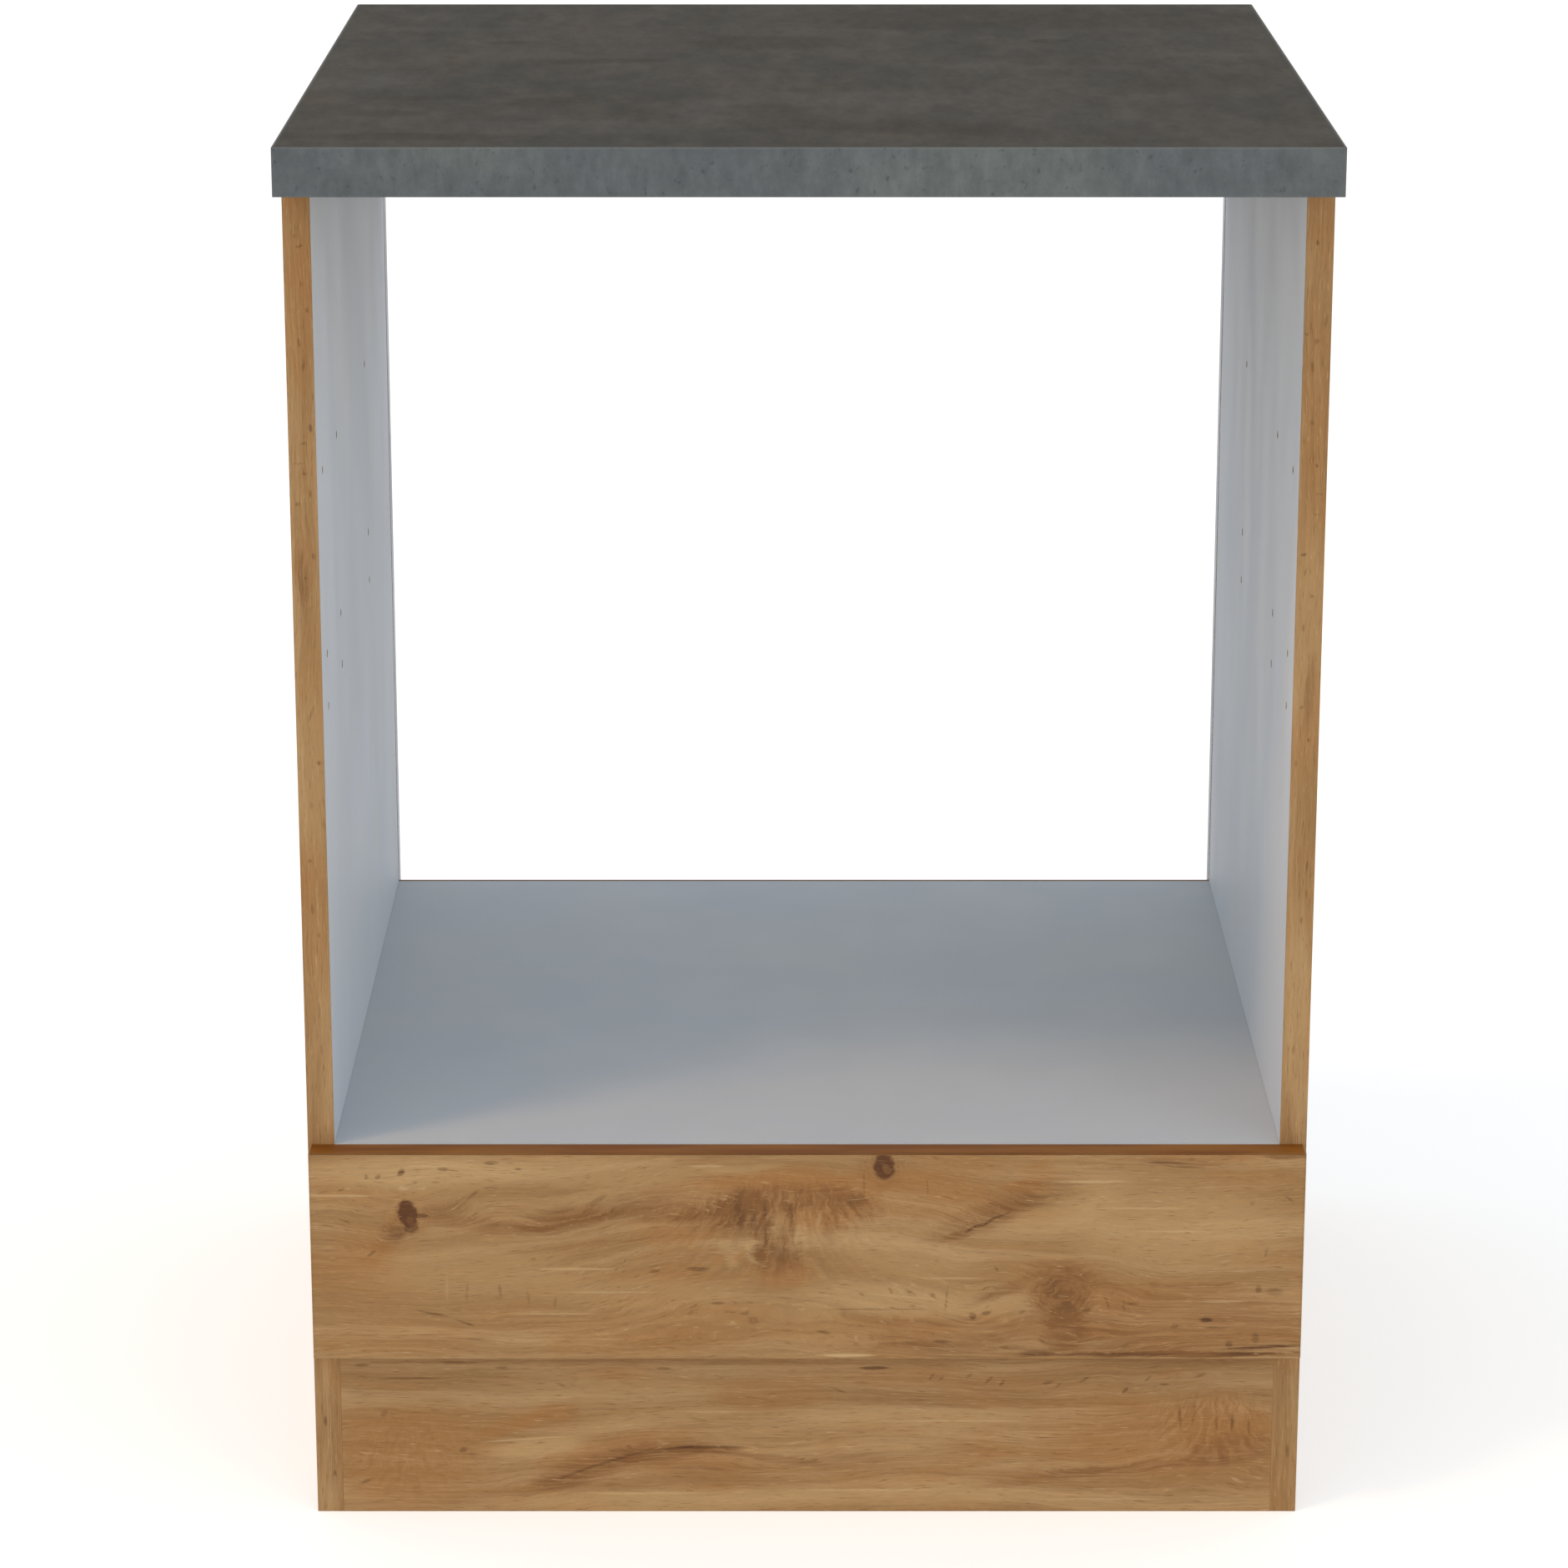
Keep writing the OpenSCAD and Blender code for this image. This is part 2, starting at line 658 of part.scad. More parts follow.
drawer_rail_screws();
drawer_roller_pins();
drawer_roller_left();
drawer_roller_right();
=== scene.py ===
import math

import bpy
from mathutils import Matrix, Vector


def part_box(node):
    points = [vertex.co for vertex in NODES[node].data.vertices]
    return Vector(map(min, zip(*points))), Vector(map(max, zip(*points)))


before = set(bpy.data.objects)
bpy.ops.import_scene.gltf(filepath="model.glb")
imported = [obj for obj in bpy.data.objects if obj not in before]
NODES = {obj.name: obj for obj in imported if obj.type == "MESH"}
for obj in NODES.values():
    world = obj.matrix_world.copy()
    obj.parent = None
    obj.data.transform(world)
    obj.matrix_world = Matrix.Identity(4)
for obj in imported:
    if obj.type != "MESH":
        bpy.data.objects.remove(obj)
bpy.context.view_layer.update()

# The looks of an oven base cabinet. Places in the materials are in millimetres, along the
# frame's axes: X to the right, Y to the wall behind, Z up. Lengths in Blender are in metres.
MM = 0.001


def rgb(red, green, blue):
    """A colour from its usual 0 to 255 values, in the linear form that shaders take."""
    def linear(value):
        value /= 255
        return value / 12.92 if value <= 0.04045 else ((value + 0.055) / 1.055) ** 2.4
    return linear(red), linear(green), linear(blue), 1.0


class Shader:
    """Builds one node material. seed shifts its noise, so that two boards never look alike."""

    def __init__(self, name, seed=0):
        self.material = bpy.data.materials.new(name)
        self.material.use_nodes = True
        self.tree = self.material.node_tree
        self.tree.nodes.clear()
        self.shift = (seed * 7.13, seed * 3.71, seed * 5.37)
        metres = self.add("TexCoord").outputs["Object"]
        self.place = self.vector("SCALE", metres, Scale=1 / MM)

    def add(self, kind, inputs=(), **settings):
        """Adds a node. inputs holds values or sockets, by number or by name."""
        node = self.tree.nodes.new("ShaderNode" + kind)
        for name, value in settings.items():
            setattr(node, name, value)
        for key, value in dict(inputs).items():
            if isinstance(value, bpy.types.NodeSocket):
                self.tree.links.new(value, node.inputs[key])
            else:
                node.inputs[key].default_value = value
        return node

    def math(self, operation, a, b=0.0, c=0.0):
        return self.add("Math", {0: a, 1: b, 2: c}, operation=operation).outputs[0]

    def vector(self, operation, a, b=(0, 0, 0), c=(0, 0, 0), **inputs):
        node = self.add("VectorMath", {0: a, 1: b, 2: c, **inputs}, operation=operation)
        return node.outputs[0]

    def remap(self, value, low, high, to_low=0.0, to_high=1.0):
        """Moves a value smoothly from one range to another, and holds it at the ends."""
        inputs = {0: value, 1: low, 2: high, 3: to_low, 4: to_high}
        return self.add("MapRange", inputs, interpolation_type="SMOOTHSTEP").outputs[0]

    def mix(self, share, a, b):
        return self.add("Mix", {0: share, 6: a, 7: b}, data_type="RGBA").outputs[2]

    def shade(self, colour, factor):
        """Makes a colour darker or lighter by a factor."""
        return self.vector("SCALE", colour, Scale=factor)

    def split(self, place):
        return list(self.add("SeparateXYZ", {0: place}).outputs)

    def join(self, x, y, z):
        return self.add("CombineXYZ", {0: x, 1: y, 2: z}).outputs[0]

    def noise_node(self, place, size, detail, rough):
        scaled = self.vector("MULTIPLY_ADD", place, [1 / s for s in size], self.shift)
        inputs = {"Vector": scaled, "Scale": 1.0, "Detail": detail, "Roughness": rough}
        return self.add("TexNoise", inputs)

    def noise(self, place, size, detail=2.0, rough=0.5):
        """Noise from 0 to 1, with grains of this size along each axis."""
        return self.noise_node(place, size, detail, rough).outputs[0]

    def jitter(self, place, size, reach, detail=3.0):
        """A place moved at random by up to about half of reach, to make shapes irregular."""
        off = self.noise_node(place, size, detail, 0.6).outputs[1]
        off = self.vector("SUBTRACT", off, (0.5, 0.5, 0.5))
        return self.vector("MULTIPLY_ADD", off, reach, place)

    def cells(self, place, size):
        """Random cells of this size: their random value, and the distance from their middle."""
        scaled = self.vector("MULTIPLY_ADD", place, [1 / s for s in size], self.shift)
        node = self.add("TexVoronoi", {"Vector": scaled, "Scale": 1.0})
        return self.split(node.outputs["Color"])[0], node.outputs["Distance"]

    def seen_from(self, place, middle, turn, scale):
        """A place as it is seen from a middle, in steps of scale along and across a turn."""
        inputs = {"Vector": place, "Location": (*middle, 0),
                  "Rotation": (0, 0, math.radians(turn)), "Scale": (*scale, MARK_DEPTH)}
        return self.add("Mapping", inputs, vector_type="TEXTURE").outputs[0]

    def inside(self, place, mark):
        """1 in the middle of a mark, falling to 0 where it ends, and 0 outside it."""
        along, across, length, width, turn, _ = mark
        scale = (length * MARK_SPREAD, width * MARK_SPREAD)
        local = self.seen_from(place, (along, across), turn, scale)
        return self.add("TexGradient", {0: local}, gradient_type="SPHERICAL").outputs[1]

    def marks(self, place, marks, rise):
        """How strongly marks cover a place. Each is an ellipse: its middle along and across
        the grain, half its length and width, its turn in degrees and its strength. rise says
        between which shares of the way in it comes to full strength."""
        total = 0.0
        for mark in marks:
            cover = self.remap(self.inside(place, mark), *rise)
            total = self.math("MULTIPLY_ADD", cover, mark[-1], total)
        return total

    def fan(self, place, mark):
        """A place on lines that stand upright in the middle of a mark, and bend out below it
        until they lie flat: how far it is across them and along them."""
        along, across, length, width, turn, _ = mark
        foot = (along, across - FAN_DROP * width)
        x, y, _ = self.split(self.seen_from(place, foot, turn, (length, length)))
        over = self.math("MULTIPLY", self.math("MULTIPLY", x, y), length)
        squares = self.math("SUBTRACT", self.math("MULTIPLY", x, x), self.math("MULTIPLY", y, y))
        return self.join(over, self.math("MULTIPLY", squares, length / 2), 0)

    def rings(self, place, mark):
        """A place on rings round the middle of a mark: how far out it is, and where."""
        along, across, length, width, turn, _ = mark
        local = self.seen_from(place, (along, across), turn, (length, width))
        out = self.add("VectorMath", {0: local}, operation="LENGTH").outputs["Value"]
        x, y, _ = self.split(local)
        return self.join(self.math("MULTIPLY", out, (length + width) / 2),
                         self.math("MULTIPLY", x, length), self.math("MULTIPLY", y, width))

    def curls(self, place, marks, form):
        """A place on the curled grain of the marks that it lies in, or 0 outside them."""
        total = (0, 0, 0)
        for mark in marks:
            held = self.math("GREATER_THAN", self.inside(place, mark), 0)
            curl = self.vector("SCALE", form(place, mark), Scale=held)
            total = self.vector("ADD", total, curl)
        return total

    def rim(self, box):
        """Distance from the nearest edge of a box, for a place on one of its faces."""
        low, high = [[value / MM for value in corner] for corner in box]
        gaps = [self.math("MINIMUM", self.math("SUBTRACT", value, low[axis]),
                          self.math("SUBTRACT", high[axis], value))
                for axis, value in enumerate(self.split(self.place))]
        least = self.math("MINIMUM", gaps[0], gaps[1])
        most = self.math("MAXIMUM", gaps[0], gaps[1])
        return self.math("MAXIMUM", least, self.math("MINIMUM", most, gaps[2]))

    def finish(self, colour, roughness, height=0.0, depth=0.05, **settings):
        """Ends the material. height from 0 to 1 gives a relief that is depth millimetres high."""
        bump = self.add("Bump", {"Height": height, "Distance": depth * MM})
        surface = self.add("BsdfPrincipled", {
            "Base Color": colour, "Roughness": roughness, "Normal": bump.outputs[0],
            **{name.replace("_", " "): value for name, value in settings.items()}})
        self.add("OutputMaterial", {0: surface.outputs[0]})
        return self.material


# Marks reach past their stated size by this factor as they fade. They come to full strength
# between two shares of the way to their middle, over a short way if they are crisp. They go
# through the board, whatever its thickness in millimetres.
MARK_SPREAD = 1.5
SOFT_RISE = (0, 0.6)
CRISP_RISE = (0.16, 0.44)
MARK_DEPTH = 1e6
# How far under the middle of a burl its upright lines lie flat, in half widths of the mark
FAN_DROP = 1.6

# Marks on the drawer's front, by kind: X and Z of the middle, half length and half width in
# millimetres, turn in degrees, strength
FRONT_MARKS = {
    "lift": [
        (-14, 190, 105, 60, 0, 1.0), (151, 160, 44, 32, 0, 0.5),
        (-239, 196, 34, 24, 0, -0.35)],
    "light": [
        (-235, 228, 60, 10, 0, 0.6), (222, 192, 62, 24, 0, 0.5), (54, 146, 56, 9, -4, 0.5),
        (-40, 232, 22, 5, 0, 0.4), (-125, 228, 60, 9, 0, 0.4), (-205, 165, 60, 16, 0, 0.35),
        (60, 176, 40, 14, -10, 0.35), (150, 205, 40, 14, 20, 0.4), (-100, 150, 60, 10, 0, 0.3),
        (-34, 179, 3, 9, 12, 0.5), (-4, 189, 3.4, 10, -8, 0.6), (8, 196, 3, 8, -15, 0.5),
        (-20, 189, 2.6, 9, 0, 0.5), (-47, 176, 4, 8, 20, 0.4), (22, 188, 4, 10, -35, 0.4)],
    "red": [
        (-265, 178, 18, 14, 0, 0.5), (-257, 178, 5, 4, 0, 0.5), (-264, 171, 6, 3, 0, 0.5),
        (8, 206, 26, 14, 0, 0.8), (-12, 162, 15, 8, 0, 0.6), (-75, 192, 28, 10, 0, 0.5),
        (131, 218, 12, 4, 0, 0.9), (139, 228, 10, 8, 0, 0.5), (232, 134, 72, 22, 0, 0.35),
        (-250, 120, 45, 14, 0, 0.3), (-90, 130, 60, 16, 0, 0.25), (182, 125, 15, 4, 0, 0.6),
        (40, 125, 60, 10, 0, 0.35), (-240, 198, 14, 12, 0, 0.35), (30, 218, 16, 10, 0, 0.35),
        (150, 128, 24, 9, 0, 0.4), (-20, 222, 40, 6, 0, 0.6), (50, 225, 26, 7, 0, 0.4),
        (70, 212, 44, 14, 0, 0.45), (-60, 212, 40, 12, 0, 0.4), (-5, 224, 24, 8, 0, 0.5),
        (150, 158, 26, 15, 0, 0.45), (180, 148, 34, 10, 0, 0.3)],
    "brown": [
        (-190, 194, 36, 4.5, -6, 0.5), (-145, 197, 26, 8, 8, 0.55), (-120, 203, 40, 6, 12, 0.4),
        (-135, 181, 45, 1.5, 7, 0.3), (-80, 203, 36, 6, 3, 0.45), (-14, 212, 40, 8, 3, 0.6),
        (-216, 204, 13, 5, 8, 0.4), (-48, 236, 26, 4, 0, 0.35), (104, 198, 30, 8, 20, 0.4),
        (140, 214, 26, 9, 12, 0.35), (122, 204, 30, 5, 25, 0.2),
        (89, 187, 9, 3, 15, 0.4), (224, 234, 22, 2.5, -4, 0.3), (289, 238, 12, 2, 0, 0.6),
        (154, 149, 17, 15, 0, 0.85), (156, 125, 13, 13, 4, 0.5), (122, 154, 24, 3, 26, 0.4),
        (73, 131, 34, 3, 0, 0.35), (70, 117, 32, 2, 0, 0.35), (45, 232, 12, 11, 0, 0.3),
        (-17, 175, 13, 12, 25, 0.7), (-37, 202, 16, 14, 0, 0.7), (220, 156, 36, 1.2, 0, 0.35),
        (182, 113, 40, 3, 0, 0.3), (-247, 190, 13, 7, 40, 0.45), (-60, 197, 18, 7, 0, 0.4),
        (176, 157, 20, 4, -24, 0.3), (150, 167, 18, 4, 0, 0.4), (28, 207, 14, 8, -20, 0.45),
        (-27, 190, 6, 17, 0, 0.35), (-9, 198, 5, 12, 0, 0.4), (110, 112, 44, 3, 0, 0.4),
        (229, 110.5, 74, 1.7, 0, 0.85), (15, 195, 12, 8, -60, 0.3), (145, 124, 52, 12, 0, 0.3),
        (236, 130, 64, 20, 0, 0.4), (60, 118, 60, 6, 0, 0.2)],
    "pale": [
        (-6, 188, 1.4, 6, -8, 0.3), (7, 198, 1.2, 5, -15, 0.25), (-280, 213, 17, 0.7, 0, 0.6),
        (-138, 166, 22, 0.7, 0, 0.5), (60, 148, 24, 0.8, -5, 0.3),
        (23, 110, 16, 1, 0, 0.8), (170, 222, 18, 0.8, 0, 0.6), (-217, 155, 0.8, 9, 0, 0.15),
        (-120, 151, 26, 0.6, 0, 0.4), (-150, 137, 22, 0.6, 0, 0.4), (85, 160, 20, 0.7, 0, 0.4),
        (200, 205, 26, 0.7, 0, 0.4), (222, 190, 20, 0.6, 0, 0.4),
        (-225, 232, 14, 0.7, 0, 0.4), (250, 145, 12, 0.7, 0, 0.4), (-60, 232, 10, 0.8, 0, 0.5)],
    "feather": [(-14, 187, 70, 33, 0, 1.0)],
    "eye": [(154, 150, 22, 17, 0, 0.75), (-240, 200, 14, 15, 10, 0.7), (46, 232, 12, 14, 8, 0.7)],
    "dark": [
        (-41, 203, 4, 10, 0, 0.35), (-32, 197, 2, 8, 8, 0.3), (-25, 195, 0.8, 15, 2, 0.45),
        (-10, 201, 1.6, 8, -4, 0.4), (-16, 176, 5, 6, 20, 0.35), (-126, 210, 6, 1.6, 30, 0.4),
        (30, 209, 5.5, 4.5, 20, 0.25), (98, 191.5, 3.4, 0.9, 34, 0.6), (104, 194, 3.6, 1, 15, 0.55),
        (109.5, 196.8, 3.4, 1, 38, 0.6), (115, 199.6, 3.8, 0.8, 18, 0.6),
        (120, 201.8, 2, 0.7, 36, 0.5),
        (-66, 166, 6, 1.3, 0, 0.6), (-54, 144, 4, 0.8, 0, 0.4), (10, 125, 4, 0.8, -12, 0.4),
        (-92, 164.5, 3, 1.2, 0, 0.4), (82, 119, 5, 1, 0, 0.4), (-243, 228, 2.4, 1.6, 50, 0.7),
        (-218, 230, 3, 1.2, 0, 0.5), (-189, 234, 4, 1.2, 0, 0.5), (-264, 225, 1, 1.4, 0, 0.5),
        (-257, 225, 1.8, 1.2, 30, 0.5), (-279, 217, 2.5, 0.8, 30, 0.4), (-173, 230, 2, 0.7, 0, 0.4),
        (-190, 218, 4, 0.8, 0, 0.4), (-200, 214, 4, 0.9, 40, 0.4), (-225, 137, 9, 0.7, -12, 0.5),
        (-206, 131, 5, 0.7, -20, 0.5), (-224, 123.5, 11, 0.6, 0, 0.4), (-197, 121, 8, 0.6, 0, 0.3),
        (-205, 151, 0.8, 6, -4, 0.2), (-185, 152, 0.9, 4, 5, 0.35), (-168, 148, 0.8, 5, 8, 0.2),
        (-152, 144, 0.8, 3, -10, 0.25), (34, 221, 0.6, 7, 0, 0.35), (72, 219, 0.6, 5, 0, 0.3),
        (150, 153, 6, 7, 20, 0.2), (156, 142, 5, 4, 0, 0.2), (169, 139.5, 2.4, 2, -40, 0.35),
        (181, 144, 0.8, 4, 20, 0.3), (191, 142, 0.7, 3.5, 0, 0.3), (196, 143.5, 4, 0.9, 0, 0.3),
        (272, 153, 1.6, 2.4, 0, 0.45), (282, 151, 5, 2.2, 0, 0.4), (241, 133, 3.6, 1.4, 0, 0.8),
        (222, 129, 2.2, 1.3, 0, 0.45), (247, 128, 6, 0.8, 0, 0.4), (276, 177, 0.7, 3, -8, 0.35),
        (289, 211, 3, 0.7, -35, 0.4), (267, 208, 1.6, 1.2, 0, 0.3), (114, 166, 0.8, 1.8, 30, 0.4),
        (100, 135.5, 2, 2, 0, 0.6), (108, 137.5, 2.6, 1.2, 10, 0.5), (139, 111.5, 9, 1.8, 0, 0.6),
        (276, 115.5, 24, 0.9, 3, 0.8), (255, 117, 2, 2.2, 0, 0.6), (271, 121, 2, 3.4, 0, 0.5),
        (262, 111, 20, 1, 0, 0.6), (200, 111, 34, 0.7, 0, 0.35), (215, 234, 12, 0.6, -2, 0.4),
        (226, 231.5, 10, 0.6, -3, 0.35), (-247, 189, 5, 4, 40, 0.4), (-262, 176, 3, 1, 40, 0.5),
        (84, 147, 0.7, 7, -4, 0.28), (40, 140, 30, 0.6, 0, 0.35), (182, 110.6, 34, 0.9, 0, 0.45)],
    "knot": [
        (-240, 202, 5.4, 8, 12, 1.0), (-238, 194, 4, 5, -10, 0.7), (-232, 200, 5, 1.6, 0, 0.7),
        (46, 232, 5.8, 8, 8, 1.0)],
    "heart": [(-238, 197, 2, 3, 10, 0.35), (47.5, 230, 2.2, 3, 10, 0.55)]}

# Marks on the plinth, in the same form
PLINTH_MARKS = {
    "lift": [(-110, 30, 60, 22, 10, 0.35), (250, 50, 50, 30, 0, 0.45)],
    "light": [
        (-165, 42, 28, 6, 6, 0.7), (-95, 6, 90, 7, 0, 0.6), (60, 62, 70, 7, 0, 0.35),
        (-120, 80, 80, 8, 0, 0.35), (60, 12, 80, 9, 0, 0.5), (-90, 62, 50, 5, 6, 0.4)],
    "red": [
        (-243, 38, 42, 32, 0, 0.6), (-180, 57, 20, 5, 15, 0.7), (-153, 66, 14, 5, 0, 0.6),
        (-22, 78, 34, 10, 0, 0.5), (222, 50, 72, 25, 0, 0.6), (256, 58, 30, 17, 0, 0.35),
        (-115, 42, 44, 8, 14, 0.5), (60, 88, 70, 6, 0, 0.35), (30, 20, 14, 8, 0, 0.25),
        (150, 78, 60, 10, 0, 0.35)],
    "brown": [
        (-128, 31, 32, 8, 17, 0.6), (-88, 39, 26, 6.5, 6, 0.6), (-150, 19, 24, 4.5, 12, 0.4),
        (-22, 35.5, 32, 2.6, -8, 0.4), (-66, 28, 26, 2, 0, 0.15), (150, 23, 45, 3, 8, 0.35),
        (215, 30, 55, 3.5, 5, 0.4), (20, 35, 28, 5, 0, 0.3), (261, 41, 30, 9, 8, 0.45),
        # The last brown mark, a thin band along the plinth's whole top edge, is painted shade
        (100, 75, 60, 6, 0, 0.2), (-62, 41, 22, 2.2, 0, 0.5), (0, 99, 284, 2, 0, 0.3)],
    "pale": [
        (-170, 48, 24, 0.7, 4, 0.5), (-100, 12, 30, 0.8, 0, 0.5), (40, 14, 36, 0.8, 0, 0.5),
        (90, 60, 40, 0.7, 0, 0.4), (-60, 66, 20, 0.6, 0, 0.4), (180, 8, 30, 0.7, 0, 0.4)],
    "feather": [(250, 56, 40, 22, 0, 1.0), (-243, 36, 42, 26, 0, 0.5)],
    "dark": [
        (-118, 34, 26, 0.9, 18, 0.5), (-82, 41.5, 14, 0.9, 8, 0.5), (-58, 42.5, 18, 1, 0, 0.6),
        (-212, 98.5, 11, 0.7, 0, 0.4), (-271, 96.5, 4, 0.9, 0, 0.5), (-241, 88, 16, 0.7, 0, 0.4),
        (-186, 95, 4, 0.8, 0, 0.5), (-87, 94.5, 4, 0.8, 0, 0.4), (-258, 65, 2.5, 1.6, 40, 0.4),
        (-210, 41, 2.4, 1.6, 20, 0.6), (41, 95, 8, 1, 0, 0.8), (-66, 61, 5, 0.7, -12, 0.3),
        (-145, 24, 12, 0.8, 20, 0.4), (76, 89, 2.5, 0.8, 55, 0.4), (82, 88, 2, 0.8, 45, 0.35),
        (99, 90, 2.2, 0.8, 45, 0.4), (111, 87, 3, 0.9, 45, 0.4), (119, 85, 2.2, 0.9, 45, 0.45),
        (147, 85, 3, 1, 10, 0.5), (153, 83, 2, 0.8, 45, 0.35), (169, 87, 3, 0.9, 30, 0.45),
        (194, 80, 2.5, 1, 50, 0.5), (208, 88, 2.5, 0.9, 45, 0.4), (218, 84, 2.5, 0.8, 0, 0.4),
        (240, 90, 3, 0.9, 20, 0.4), (228, 62, 0.8, 7, 5, 0.4), (236, 64, 0.8, 6, -6, 0.3),
        (250, 62, 0.8, 7, 4, 0.4), (260, 60, 0.9, 6, -4, 0.4), (270, 56, 0.8, 5, 0, 0.3),
        (-150, 84, 3, 0.8, -20, 0.35), (20, 80, 4, 0.7, -20, 0.35), (-270, 20, 3, 1, 20, 0.4)]}


def turned(marks):
    """Marks that are given as X and Z, in the form for a grain along Z."""
    return {kind: [(z, x, half_z, half_x, -turn, strength)
                   for x, z, half_x, half_z, turn, strength in places]
            for kind, places in marks.items()}


# Soft tones and small flecks on the narrow front edges of the side panels
EDGE_MARKS = turned({
    "light": [(292, 560, 9, 60, 0, 0.4), (291, 330, 8, 50, 0, 0.4), (-291, 470, 8, 60, 0, 0.4)],
    "red": [(-293, 740, 7, 40, 0, 0.5), (292, 700, 7, 60, 0, 0.5), (-292, 380, 7, 50, 0, 0.4)],
    "brown": [(-294, 590, 3, 18, 4, 0.4), (294, 520, 3, 22, -3, 0.4), (-292, 50, 7, 30, 0, 0.3)],
    "dark": [
        (-293, 791, 1.2, 0.8, 0, 0.3), (-290.5, 785, 2.2, 0.7, 20, 0.45),
        (-290, 763, 0.8, 1.6, 0, 0.3), (-287, 748, 1, 1.6, 10, 0.35), (-292, 729, 0.9, 2.4, 5, 0.4),
        (-290, 715, 0.8, 2.6, -5, 0.4), (-287, 679, 1, 2.2, 5, 0.5), (-291, 670, 1.8, 0.8, 15, 0.4),
        (-294, 658, 3, 0.5, 0, 0.3), (-291, 652, 1.4, 0.8, 0, 0.35), (-288, 640, 0.8, 2, 0, 0.35),
        (-295.5, 634, 1.3, 1.1, 0, 0.45),
        (-287, 603, 1, 2, 5, 0.45), (-292, 590, 1.2, 0.8, 0, 0.3), (-291, 508, 0.8, 5, -20, 0.3),
        (-287.5, 478, 1.2, 1.4, 0, 0.45), (-292, 452, 0.8, 2, 0, 0.3), (-294, 418, 1.2, 1, 0, 0.35),
        (-293.5, 388, 0.9, 3, 5, 0.35), (-290, 372, 0.8, 1.6, 0, 0.3), (-290, 300, 0.8, 3, 0, 0.25),
        (-294, 60, 1, 3, 0, 0.5), (-289, 25, 1, 2, 0, 0.4), (290.5, 787, 1, 1.4, 0, 0.45),
        (297, 742, 0.9, 4, -10, 0.3), (286, 734, 1, 0.9, 0, 0.4), (292, 730, 1.3, 1.4, 0, 0.5),
        (290, 715, 0.9, 3, 5, 0.4), (290, 682, 0.9, 1.4, 0, 0.3), (294, 657, 0.9, 0.9, 0, 0.6),
        (296, 640, 2, 0.5, 0, 0.3), (295, 628, 2, 0.5, 0, 0.3), (288, 604, 2, 0.7, 15, 0.45),
        (293.5, 579, 1, 0.9, 0, 0.4), (289, 560, 0.8, 2, 0, 0.3), (289.5, 512, 1.2, 0.8, 20, 0.35),
        (294, 492, 0.9, 1, 0, 0.5), (287, 478, 0.9, 1.6, 0, 0.35), (295, 414, 0.9, 4, -10, 0.4),
        (293, 381, 0.9, 2, 0, 0.3), (291, 300, 0.8, 3, 0, 0.25), (294, 40, 1, 4, 5, 0.4)]})

